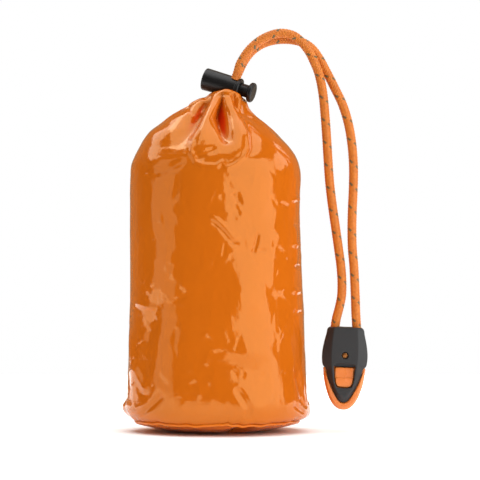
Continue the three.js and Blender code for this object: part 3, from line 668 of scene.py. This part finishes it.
hem_bearing = np.linspace(HEM_RIGHT_END, 360 + HEM_LEFT_END, HEM_SAMPLES)
hem_row = HEM_ROW + HEM_ROW_SWING * np.sin(np.radians(hem_bearing))
wall_cloth = cloth[len(under):]
hem_index = np.interp(hem_row, places, np.arange(len(places))).round().astype(int)
turned = np.append(bearing, 360)
hem_column = np.interp(np.mod(hem_bearing, 360), turned, np.arange(len(turned))).round().astype(int)
hem_column = hem_column % SACK_AROUND
kernel = np.ones(HEM_SMOOTHED) / HEM_SMOOTHED
hem_line = wall_cloth[hem_index, hem_column].T
hem_line = np.stack([np.convolve(side, kernel, "valid") for side in hem_line], axis=-1)
hem_normal = outward(wall_cloth)[hem_index, hem_column][HEM_SMOOTHED // 2 :]
hem_along = lengths_along(hem_line)
stitch_points, stitch_faces = [], []
for begin in np.arange(1.0, hem_along[-1] - STITCH_PITCH, STITCH_PITCH):
    start, end = np.stack([
        np.interp((begin, begin + STITCH_LENGTH), hem_along, side) for side in hem_line.T
    ], axis=-1)
    out_of_cloth = hem_normal[np.searchsorted(hem_along, begin + STITCH_LENGTH / 2)]
    first = len(stitch_points)
    stitch_points += thread_stitch(start, end, out_of_cloth).reshape(-1, 3).tolist()
    last = len(stitch_points) - STITCH_AROUND
    stitch_faces += (first + tube_faces(len(STITCH_TAPER), STITCH_AROUND)).tolist()
    stitch_faces.append(tuple(range(first + STITCH_AROUND - 1, first - 1, -1)))
    stitch_faces.append(tuple(range(last, last + STITCH_AROUND)))
stitches = add_piece("hem_stitches", (np.array(stitch_points) * MM).tolist(), stitch_faces)
stitches.data.shade_smooth()


def varied_surface(name, colours, patches, look, shine=None, grain=None):
    """A finish that varies a little: its colour between two, and its roughness between the two of shine,
    in patches of a scale and detail. Grain is a scale, strength and depth in mm. A scale is the number
    of features in a metre, so 1000 is one a millimetre."""
    surface = new_material(name)
    place = add_node(surface, "TexCoord", out="Object")
    varied = add_node(surface, "TexNoise", {"Vector": place, "Scale": patches[0], "Detail": patches[1]})
    look = {"Base Color": linear(colours[0]), **look}
    if len(colours) > 1:
        look["Base Color"] = add_node(surface, "Mix", {
            "Factor_Float": varied, "A_Color": linear(colours[0]), "B_Color": linear(colours[1]),
        }, out="Result_Color", data_type="RGBA")
    if shine:
        look["Roughness"] = add_node(surface, "MapRange", {
            "Value": varied, "To Min": shine[0], "To Max": shine[1],
        })
    if grain:
        scale, strength, depth = grain
        look["Normal"] = add_node(surface, "Bump", {
            "Height": add_node(surface, "TexNoise", {"Vector": place, "Scale": scale, "Detail": 2.0}),
            "Strength": strength,
            "Distance": depth * MM,
        })
    add_node(surface, "OutputMaterial", {"Surface": add_node(surface, "BsdfPrincipled", look)})
    return surface


# Polyester filament thread: a touch darker than the cloth, with a soft sheen along each stitch
stitches.data.materials.append(varied_surface(
    "polyester_thread_lockstitch", ("A8480C", "C45E18"), (800.0, 2.0),
    {"Roughness": 0.5, "IOR": 1.53, "Sheen Weight": 0.2},
))
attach(stitches, "bag")

# Base panel
# A round of the same nylon, sewn to the lower edge of the sack and pushed out below it by the load. Its
# # cloth is painted a little lighter than the sack's: painted light from the table below.
BASE_AROUND = 240
SEAM_CLOSED = 0.24
BASE_RINGS = np.concatenate([np.linspace(0.06, 0.62, 10), np.linspace(0.65, 1, 26)])
base_bearing = 360 * np.arange(BASE_AROUND) / BASE_AROUND


def base_sheet(above):
    """One face of the panel, with the small puckers that the seam draws into its rim."""
    rings = np.stack([base_point(reach_out, base_bearing, above) for reach_out in BASE_RINGS])
    drawn = smoothstep(BASE_RINGS, SEAM_FROM, SEAM_FULL)[:, None]
    rings[:, :, 2] += (seam_wave(base_bearing) + SEAM_CLOSED) * drawn
    return rings


base_rings = np.concatenate([base_sheet(0.0), base_sheet(CLOTH)[::-1]])
base_mm = np.broadcast_to(np.concatenate([BASE_RINGS, BASE_RINGS[::-1]])[:, None] * SACK_RADIUS,
                          (len(base_rings), BASE_AROUND + 1))
base_turn = np.broadcast_to(np.radians(np.append(base_bearing, 360)), base_mm.shape)
base = ring_mesh("base_panel_cloth", base_rings, [0, 0, 0], [0, 0, CLOTH],
                 base_mm * np.sin(base_turn), base_mm * np.cos(base_turn))
# Painted light: the same nylon, given lighter colours than the sack's to stand for the light from the table
# below
base.data.materials.append(coated_ripstop_nylon("coated_ripstop_nylon_base", ("EC7A1C", "E27218")))
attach(base, "bag")
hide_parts("base_panel")

# Cord lock
# A sprung barrel lock of black moulded acetal: a barrel with an eye for the cord, and a button whose stem
# runs in it. The drawcord passes through the eye, and the spring holds it by its own squeeze.
LOCK_AROUND = 96
CORNER_STEPS, CORNER_LIMIT, SUPPORT_ROW = 4, 0.4, 0.25
EYE_ALONG = 15.0
EYE_LENGTH, EYE_WIDTH = 4.2, 7.1
EYE_SQUARENESS = 2.6
EYE_AROUND = 48
BARREL_PROFILE = [
    (0, 0.4), (4.2, 0.4), (4.4, 0), (4.85, 0), (5.2, 0.4), (5.2, 2), (4.82, 16), (4.6, 16.15), (4.6, 16.5),
    (4.95, 16.7), (4.95, 17.6), (4.5, 18.1), (3.4, 18.1), (3.25, 17.9), (3.25, 7.6), (0, 7.6),
]
BUTTON_PROFILE = [
    (0, 11.6), (2.95, 11.6), (2.95, 21.7), (3.4, 22.3), (4.1, 22.3), (4.65, 22.9), (4.65, 24.1), (4.05, 24.7),
    (3.5, 24.55), (0, 24.6),
]

lock_up = unit(np.array([0.0, 0.0, 1.0]) - LOCK_AXIS[2] * LOCK_AXIS)
lock_side = np.cross(LOCK_AXIS, lock_up)


def rounded_profile(profile, corner):
    """The profile with each inner corner drawn as a short curve, and a support row beside each curve."""
    points = np.array(profile, dtype=float)
    drawn = [points[0]]
    for before, here, after in zip(points, points[1:], points[2:]):
        start, end = (
            here + way * min(corner / np.linalg.norm(way), CORNER_LIMIT)
            for way in (before - here, after - here)
        )
        drawn.append(start + (start - here) * SUPPORT_ROW)
        for t in np.linspace(0, 1, CORNER_STEPS + 1):
            drawn.append((1 - t) ** 2 * start + 2 * t * (1 - t) * here + t**2 * end)
        drawn.append(end + (end - here) * SUPPORT_ROW)
    drawn.append(points[-1])
    return np.array(drawn)


def lock_turning(name, profile, corner):
    """A turned body about the lock's axis."""
    drawn = rounded_profile(profile, corner)
    cosine, sine = once_round(LOCK_AROUND)
    ring = cosine[:, None] * lock_up + sine[:, None] * lock_side
    centres = LOCK_LEFT_END + drawn[:, 1:] * LOCK_AXIS
    rings = centres[1:-1, None] + drawn[1:-1, :1, None] * ring
    return ring_mesh(name, rings, centres[0], centres[-1])


def apply_modifiers(piece):
    shaped = bpy.data.meshes.new_from_object(piece.evaluated_get(bpy.context.evaluated_depsgraph_get()))
    unshaped = piece.data
    piece.modifiers.clear()
    piece.data = shaped
    bpy.data.meshes.remove(unshaped)


def carve(piece, tools, operation="DIFFERENCE"):
    """Cuts the tools out of a piece, or joins them to it, and deletes them."""
    for tool in tools:
        modifier = piece.modifiers.new("carve", "BOOLEAN")
        modifier.operation = operation
        modifier.solver = "EXACT"
        modifier.object = tool
    apply_modifiers(piece)
    for tool in tools:
        bpy.data.objects.remove(tool)


def keep_edges_sharp(piece, degrees):
    """Shades a piece smooth but for edges that turn by more than the given angle."""
    piece.data.set_sharp_from_angle(angle=math.radians(degrees))


barrel = lock_turning("cord_lock_barrel", BARREL_PROFILE, 0.3)
eye_cosine, eye_sine = once_round(EYE_AROUND)
eye_reach = squared_reach(eye_sine, eye_cosine, EYE_SQUARENESS)
eye_middle = LOCK_LEFT_END + EYE_ALONG * LOCK_AXIS
eye_ring = eye_middle + (
    (EYE_LENGTH / 2 * eye_reach * eye_cosine)[:, None] * LOCK_AXIS
    - (EYE_WIDTH / 2 * eye_reach * eye_sine)[:, None] * lock_side
)
eye_low, eye_high = 2.0 * lock_up, 8.0 * lock_up
eye_rings = np.stack([eye_ring + eye_low, eye_ring + eye_high])
carve(barrel, [ring_mesh("eye", eye_rings, eye_middle + eye_low, eye_middle + eye_high)])
keep_edges_sharp(barrel, 40)
button = lock_turning("cord_lock_button", BUTTON_PROFILE, 0.35)

# Black acetal from a fine-ground mould: satin, with one broad soft highlight along the top
for lock_piece, body, node, slot in (
    (barrel, "bag", "lock_barrel", "lock_plastic"),
    (button, "button", "lock_button", "button_plastic"),
):
    lock_piece.data.materials.append(varied_surface(
        "acetal_moulded_" + node, ["121213"], (260.0, 2.0), {"IOR": 1.48, "Specular IOR Level": 0.42},
        shine=(0.32, 0.46), grain=(2600.0, 0.3, 0.03),
    ))
    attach(lock_piece, body)
    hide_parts(node)

# Whistle
# A flat safety whistle: a black ABS shell of a solid shoulder and two plates, clipped over an orange body
# and held by one small brass screw. The cord's two ends are pressed into the holes in its top.
WHISTLE_TOP = Vector((59.9, 0.0, 48.2)) * MM
WHISTLE_TILT = math.radians(2.1)
WHISTLE_SAMPLES = 120
SHELL_HALF = [
    (6.4, 0), (7.4, 0.1), (8.2, 0.7), (8.8, 3.2), (9.9, 8), (10.5, 12.5), (10.4, 16), (10.1, 17.6),
    (9.8, 18.2), (9.3, 18.4), (8.9, 18.9), (8, 22), (6.7, 25.6), (4.8, 29.6), (3.1, 32.6), (1.6, 34.3),
    (0, 34.8),
]
PLATEAU_HALF = [
    (4.4, 0), (5.2, 0.1), (5.7, 3), (6.1, 10), (6, 18), (5.2, 24), (3.8, 28.5), (2, 31), (0, 31.8),
]
BODY_HALF = [
    (8.9, 18.6), (9.6, 18.8), (9.6, 20.5), (9.1, 25), (7.9, 29.5), (6.3, 33.4), (4.3, 36.3), (2.2, 37.8),
    (0, 38.2),
]
PLATE_ROOM_HALF = [
    (8.6, 18), (9.3, 18.2), (8.3, 22), (7, 25.6), (5.1, 29.6), (3.4, 32.6), (1.8, 34.6), (0, 35.1),
]
WINDOW_HALF = [
    (3.4, 16.8), (4.2, 16.9), (4.8, 17.4), (4.9, 18.4), (4.7, 20.5), (4.0, 26), (3.3, 27.5), (2, 27.9),
    (0, 28),
]
PAD_HALF = [
    (3.4, 18.6), (4, 18.7), (4.3, 19.2), (4.3, 20.4), (3.6, 26), (3, 27.1), (1.8, 27.4), (0, 27.5),
]
STEP_HALF = [(3.2, 23.4), (3.7, 23.5), (3.9, 24), (3.6, 26), (3, 27.1), (1.8, 27.4), (0, 27.5)]
SHOULDER_LENGTH = 18.3
SHELL_HALF_DEPTH, SHELL_EDGE_HALF_DEPTH = 5.0, 3.1
PLATE_INSIDE = 2.5
BODY_HALF_DEPTH, BODY_TONGUE_HALF_DEPTH = 3.5, 2.2
BODY_BEVEL, BODY_RIM_HALF_DEPTH = 1.2, 1.9
PAD_FACE, STEP_FACE, PAD_SUNK = -3.4, -4.0, 0.5
CORD_HOLE_SPREAD, CORD_HOLE_RADIUS, CORD_HOLE_DEPTH = 5.05, 2.5, 5.0
TOOL_AROUND = 40
SCREW_BELOW_TOP, SCREW_RADIUS = 12.9, 1.25
SCREW_FACE, SCREW_BACK, RECESS_RADIUS, RECESS_FLOOR = -4.0, -3.0, 1.55, -2.7
SCREW_DOME, SCREW_AROUND = 0.18, 64
CROSS_HALF_WIDTH, CROSS_HALF_LENGTH, CROSS_DEPTH = 0.2, 0.75, 0.35
RING_GROOVE_RADIUS, RING_GROOVE_WIDTH, RING_GROOVE_DEPTH = 2.45, 0.3, 0.3
WHISTLE_VOXEL = 0.21 * MM


def on_smooth_curve(points, at):
    """Places on a smooth curve through points, at the given lengths along their chords."""
    begun = lengths_along(points)
    slopes = np.gradient(points, begun, axis=0)
    i = np.clip(np.searchsorted(begun, at, side="right") - 1, 0, len(begun) - 2)
    span = (begun[i + 1] - begun[i])[:, None]
    t = (at - begun[i])[:, None] / span
    ease = 3 * t**2 - 2 * t**3
    bend = slopes[i] * (t**3 - 2 * t**2 + t) + slopes[i + 1] * (t**3 - t**2)
    return points[i] * (1 - ease) + points[i + 1] * ease + span * bend


def whole_outline(half):
    """Points (x, z) once round a mirrored half outline: from the foot up the right, and down the left."""
    right = np.array(half[::-1], dtype=float) * (1, -1)
    top_middle = [[0.0, right[-1, 1]]] if right[-1, 0] > 0 else []
    loop = np.vstack([right, *top_middle, right[:0:-1] * (-1, 1)])
    joined = np.vstack([loop[-3:], loop, loop[:4]])
    begun = lengths_along(joined)
    at = np.linspace(begun[3], begun[3 + len(loop)], WHISTLE_SAMPLES, endpoint=False)
    return on_smooth_curve(joined, at)


def slab_through(name, layers):
    """A closed body through outlines of equal length, each at its own depth, given from back to front."""
    rings = np.stack([np.insert(outline, 1, depth, axis=1) for outline, depth in layers])
    return ring_mesh(name, rings, rings[0].mean(axis=0), rings[-1].mean(axis=0))


def bevelled_slab(name, face, rim, face_depth, rim_depth):
    """A body that is widest at its rim, with a bevel to the smaller outline of its two faces."""
    return slab_through(name, [(face, face_depth), (rim, rim_depth), (rim, -rim_depth), (face, -face_depth)])


def round_tool(name, middle, axis, start, end, radius):
    """A straight round tool along X, Y or Z, from start to end on that axis."""
    one, other = [k for k in range(3) if k != axis]
    cosine, sine = once_round(TOOL_AROUND)
    ring = np.zeros((TOOL_AROUND, 3))
    ring[:, one], ring[:, other] = radius * cosine, (-radius if axis == 1 else radius) * sine
    centres = np.array([middle, middle], dtype=float)
    centres[:, axis] = start, end
    return ring_mesh(name, ring + centres[:, None], *centres)


def drawn_in(outline, distance):
    """The outline shrunk about its middle, so that its widest places lie a distance further in."""
    low, high = outline.min(axis=0), outline.max(axis=0)
    middle, half = (low + high) / 2, (high - low) / 2
    return middle + (outline - middle) * (1 - distance / half)


def flat_tool(name, half, back, front):
    outline = whole_outline(half)
    return slab_through(name, [(outline, back), (outline, front)])


def finish_moulding(piece):
    """Rounds every edge as a mould does, and puts the piece in its place on the cord."""
    remesh = piece.modifiers.new("moulded_edges", "REMESH")
    remesh.mode = "VOXEL"
    remesh.voxel_size = WHISTLE_VOXEL
    remesh.use_smooth_shade = True
    soften = piece.modifiers.new("soften", "SMOOTH")
    soften.factor = 0.5
    soften.iterations = 4
    apply_modifiers(piece)
    place_whistle(piece)


def place_whistle(piece):
    piece.data.transform(Matrix.Translation(WHISTLE_TOP) @ Matrix.Rotation(WHISTLE_TILT, 4, "Y"))


shell = bevelled_slab(
    "whistle_shell_black", whole_outline(PLATEAU_HALF), whole_outline(SHELL_HALF),
    SHELL_HALF_DEPTH, SHELL_EDGE_HALF_DEPTH,
)
slot_outline = np.array([(-15.0, -50), (15, -50), (15, -SHOULDER_LENGTH), (-15, -SHOULDER_LENGTH)])
shell_tools = [
    slab_through("slot", [(slot_outline, PLATE_INSIDE), (slot_outline, -PLATE_INSIDE)]),
    flat_tool("window", WINDOW_HALF, -PLATE_INSIDE + 0.05, -SHELL_HALF_DEPTH - 1),
    round_tool("recess", (0, 0, -SCREW_BELOW_TOP), 1, -SHELL_HALF_DEPTH - 1, RECESS_FLOOR, RECESS_RADIUS),
]
for side in (-1, 1):
    hole_middle = (side * CORD_HOLE_SPREAD, 0, 0)
    shell_tools.append(round_tool("hole", hole_middle, 2, -CORD_HOLE_DEPTH, 1, CORD_HOLE_RADIUS))
ring_groove = round_tool("groove", (0, 0, -SCREW_BELOW_TOP), 1, -SHELL_HALF_DEPTH - 1,
                         RING_GROOVE_DEPTH - SHELL_HALF_DEPTH, RING_GROOVE_RADIUS + RING_GROOVE_WIDTH / 2)
ring_core = round_tool("core", (0, 0, -SCREW_BELOW_TOP), 1, -SHELL_HALF_DEPTH - 2, 0,
                       RING_GROOVE_RADIUS - RING_GROOVE_WIDTH / 2)
carve(ring_groove, [ring_core])
carve(shell, [*shell_tools, ring_groove])
finish_moulding(shell)

body_outline = whole_outline(BODY_HALF)
body_face = drawn_in(body_outline, BODY_BEVEL)
whistle_body = bevelled_slab(
    "whistle_body_orange", body_face, body_outline, BODY_HALF_DEPTH, BODY_RIM_HALF_DEPTH,
)
carve(whistle_body, [
    flat_tool("back_room", PLATE_ROOM_HALF, BODY_HALF_DEPTH + 1, BODY_TONGUE_HALF_DEPTH),
    flat_tool("front_room", PLATE_ROOM_HALF, -BODY_TONGUE_HALF_DEPTH, -BODY_HALF_DEPTH - 1),
])
carve(whistle_body, [
    flat_tool("pad", PAD_HALF, -BODY_TONGUE_HALF_DEPTH + PAD_SUNK, PAD_FACE),
    flat_tool("step", STEP_HALF, -BODY_TONGUE_HALF_DEPTH + PAD_SUNK, STEP_FACE),
], "UNION")
finish_moulding(whistle_body)

# The screw: a domed brass head with a cross recess
screw_cosine, screw_sine = once_round(SCREW_AROUND)
screw_share = np.concatenate([np.linspace(0.04, 0.92, 18), [0.97, 1.0, 1.0]])[::-1, None]
screw_x = screw_share * SCREW_RADIUS * screw_cosine
screw_z = screw_share * SCREW_RADIUS * screw_sine
nearer, further = np.sort(np.abs([screw_x, screw_z]), axis=0)
in_cross = (nearer < CROSS_HALF_WIDTH) & (further < CROSS_HALF_LENGTH)
screw_y = SCREW_FACE + SCREW_DOME * screw_share**3 + CROSS_DEPTH * in_cross
screw_y[0] = SCREW_BACK
screw_rings = np.stack([screw_x, screw_y, screw_z - SCREW_BELOW_TOP], axis=-1)
screw = ring_mesh("whistle_screw_brass", screw_rings, (0, SCREW_BACK, -SCREW_BELOW_TOP),
                  (0, SCREW_FACE + CROSS_DEPTH, -SCREW_BELOW_TOP))
keep_edges_sharp(screw, 50)
place_whistle(screw)

# Black ABS from a spark-eroded mould: an even fine grain, so the flat faces are a dull dark grey
textured_abs = varied_surface(
    "abs_black_spark_eroded", ["1F2022"], (180.0, 3.0), {"IOR": 1.54},
    shine=(0.42, 0.56), grain=(2400.0, 0.45, 0.05),
)

# Orange ABS from a polished mould: bright, with clean soft highlights along its rounded rim
polished_abs = varied_surface(
    "abs_orange_polished_mould", ("EE8A3C", "E67E36"), (220.0, 2.0), {"IOR": 1.54}, shine=(0.22, 0.32),
)

# Turned brass, tarnished to copper-brown in patches of about half a millimetre, so it glints unevenly
turned_brass = varied_surface(
    "brass_turned_tarnished", ("C98A4E", "8E5630"), (1500.0, 3.0), {"Metallic": 1.0}, shine=(0.28, 0.5),
)

whistle_pieces = [shell, whistle_body, screw]
for whistle_piece, material, node, slot in zip(
    whistle_pieces,
    (textured_abs, polished_abs, turned_brass),
    ("whistle_shell", "whistle_body", "whistle_screw"),
    ("whistle_black", "whistle_orange", "screw_brass"),
):
    whistle_piece.data.materials.clear()
    whistle_piece.data.materials.append(material)
    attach(whistle_piece, "bag")
    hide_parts(node)

# Drawcord
# One braided polyester cord of sixteen yarns, one of them a grey reflective tracer. Both its runs leave
# the cord lock's eye, arch over to the right and end in the whistle's two holes.
CORD_DIAMETER = 4.3
YARNS_EACH_WAY = 8
YARN_LEAD = 10.5
YARN_RELIEF, YARN_DIVE = 0.30, 0.75
CORD_AROUND, CORD_STEP = 48, 0.22

# In the eye the cord is squeezed to these shares of its width and thickness, and its two runs lie nearer
# together. It is free again a few millimetres further on.
LOCK_MIDDLE_Y = -0.28
INTO_EYE = (-0.8, 0, -2.0)
SQUEEZED_FROM, FREE_AT = 0.5, 6.5
SQUEEZED_WIDTH, SQUEEZED_THICKNESS, SQUEEZED_APART = 0.94, 0.74, 0.72

# The two runs as the photo shows them, from the cord lock to the whistle
FRONT_RUN = np.array([
    (9.3, -2.3, 164.8), (9.9, -2.3, 166.5), (10.9, -2.3, 169.7), (12.7, -2.3, 173), (15, -2.3, 176.2),
    (18.2, -2.4, 179.3), (23.3, -2.5, 182.5), (30.2, -2.5, 184.2), (36.2, -2.5, 182.7), (39.8, -2.5, 179.6),
    (42.8, -2.5, 175.7), (45.1, -2.5, 171.1), (47, -2.4, 166.5), (48.2, -2.2, 161.9), (49.3, -1.9, 155.5),
    (50.2, -1.4, 146.3), (50.9, -0.9, 137.1), (51.6, -0.5, 126), (52.4, -0.2, 115), (53.6, 0, 104.9),
    (55.2, 0, 93.8), (56.5, 0, 84.6), (57.6, 0, 76.4), (58.1, 0, 68.5), (57.9, 0, 62.6),
    (56.8, 0, 57), (55.5, 0, 52), (54.9, 0, 47.8), (54.8, 0, 44.2),
])
REAR_RUN = np.array([
    (9.7, 2.4, 164.8), (10.6, 2.4, 167), (12, 2.4, 170), (14.1, 2.4, 173.4), (16.8, 2.4, 176.4),
    (21, 2.4, 179.2), (26, 2.5, 180.9), (31.6, 2.5, 181.4), (36.6, 2.5, 180.9), (40.3, 2.5, 179.8),
    (44, 2.5, 177.3), (47.2, 2.5, 173.2), (50.4, 2.4, 167.4), (54.6, 2, 159.2), (58.5, 1.4, 150.9),
    (61.2, 0.8, 141.7), (62.7, 0.4, 132.5), (63.4, 0.1, 122.4), (63.3, 0, 112.2), (62.9, 0, 103),
    (62.7, 0, 93.8), (62.9, 0, 84.6), (63.6, 0, 76.4), (64, 0, 69), (64.3, 0, 61.6),
    (64.5, 0, 55.2), (64.9, 0, 48.2), (65, 0, 44.2),
])


def yarn_height(one_way, other_way):
    """Height of a braid that goes over two and under two, from 0 between yarns to 1 on top of one."""
    phase = np.mod(np.floor(one_way) + np.floor(other_way), 4)
    over = phase < 2
    across = 2 * np.mod(np.where(over, one_way, other_way), 1) - 1
    lengthwise = np.where(over, phase + np.mod(other_way, 1), phase - 2 + np.mod(one_way, 1)) - 1
    return np.sqrt(1 - across**2) * (1 - YARN_DIVE * lengthwise**4)


def braided_run(name, run, node):
    """One run of the cord on its route, as a mesh, and its centre line in metres."""
    points = np.vstack([run[:1] + np.array([INTO_EYE]), run])
    whole = lengths_along(points)[-1]
    line = on_smooth_curve(points, np.linspace(0, whole, round(whole / CORD_STEP) + 1))
    along = lengths_along(line)[:, None]
    free = smoothstep(along[:, 0], SQUEEZED_FROM, FREE_AT)
    apart, width, thickness = (
        share + (1 - share) * free for share in (SQUEEZED_APART, SQUEEZED_WIDTH, SQUEEZED_THICKNESS)
    )
    line[:, 1] = LOCK_MIDDLE_Y + (line[:, 1] - LOCK_MIDDLE_Y) * apart
    ahead = unit(np.gradient(line, axis=0))
    side = unit(np.cross(ahead, (0.0, 1.0, 0.0)))
    up = np.cross(ahead, side)
    turns = np.arange(CORD_AROUND) / CORD_AROUND
    wound = YARNS_EACH_WAY * along / YARN_LEAD
    weave = yarn_height(YARNS_EACH_WAY * turns + wound, YARNS_EACH_WAY * turns - wound)
    radius = CORD_DIAMETER / 2 - YARN_RELIEF * (1 - weave)
    cosine, sine = once_round(CORD_AROUND)
    rings = line[:, None] + radius[:, :, None] * (
        cosine[:, None] * (side * width[:, None])[:, None]
        + sine[:, None] * (up * thickness[:, None])[:, None]
    )
    shape = (len(line), CORD_AROUND + 1)
    turn_map = np.broadcast_to(np.arange(CORD_AROUND + 1) / CORD_AROUND, shape)
    piece = ring_mesh(name, rings, line[0], line[-1], turn_map, np.broadcast_to(along, shape))
    piece.data.materials.append(braid)
    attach(piece, "bag")
    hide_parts(node)
    return piece, line * MM


# Braided polyester: bulky matt yarns with a soft sheen, and a grey tracer that shows as short flecks
braid = new_material("polyester_yarn_braided")
braid_place = add_node(braid, "UVMap", uv_map="cloth_mm")
woven = {
    "turn": add_node(braid, "SeparateXYZ", {"Vector": braid_place}, out="X"),
    "length": add_node(braid, "SeparateXYZ", {"Vector": braid_place}, out="Y"),
}
for result, operation, one, other in (
    ("yarns", "MULTIPLY", "turn", YARNS_EACH_WAY),
    ("wound", "MULTIPLY", "length", YARNS_EACH_WAY / YARN_LEAD),
    ("one_way", "ADD", "yarns", "wound"),
    ("other_way", "SUBTRACT", "yarns", "wound"),
    ("one_yarn", "FLOOR", "one_way", 0),
    ("other_yarn", "FLOOR", "other_way", 0),
    ("crossing", "ADD", "one_yarn", "other_yarn"),
    ("phase", "FLOORED_MODULO", "crossing", 4),
    ("on_top", "LESS_THAN", "phase", 1.5),
    ("yarn_number", "FLOORED_MODULO", "one_yarn", YARNS_EACH_WAY),
    ("is_tracer", "LESS_THAN", "yarn_number", 0.5),
    ("tracer_shows", "MULTIPLY", "is_tracer", "on_top"),
):
    inputs = {"Value": woven[one], "Value_001": woven.get(other, other)}
    woven[result] = add_node(braid, "Math", inputs, operation=operation)
filaments = add_node(braid, "TexNoise", {
    "Vector": add_node(braid, "TexCoord", out="Object"), "Scale": 900.0, "Detail": 2.0,
})
yarn_dye = add_node(braid, "Mix", {
    "Factor_Float": filaments, "A_Color": linear("B8540C"), "B_Color": linear("EA8E28"),
}, out="Result_Color", data_type="RGBA")
cord_colour = add_node(braid, "Mix", {
    "Factor_Float": woven["tracer_shows"], "A_Color": yarn_dye, "B_Color": linear("6C5B38"),
}, out="Result_Color", data_type="RGBA")
cord_shader = add_node(braid, "BsdfPrincipled", {
    "Base Color": cord_colour,
    "Roughness": 0.5,
    "IOR": 1.57,
    "Specular IOR Level": 0.39,
    "Sheen Weight": 0.06,
    "Sheen Roughness": 0.4,
    "Normal": add_node(braid, "Bump", {"Height": filaments, "Strength": 0.5, "Distance": 0.12 * MM}),
})
add_node(braid, "OutputMaterial", {"Surface": cord_shader})

front_run, front_line = braided_run("drawcord_front_run", FRONT_RUN, "strand_front")
rear_run, rear_line = braided_run("drawcord_rear_run", REAR_RUN, "strand_rear")
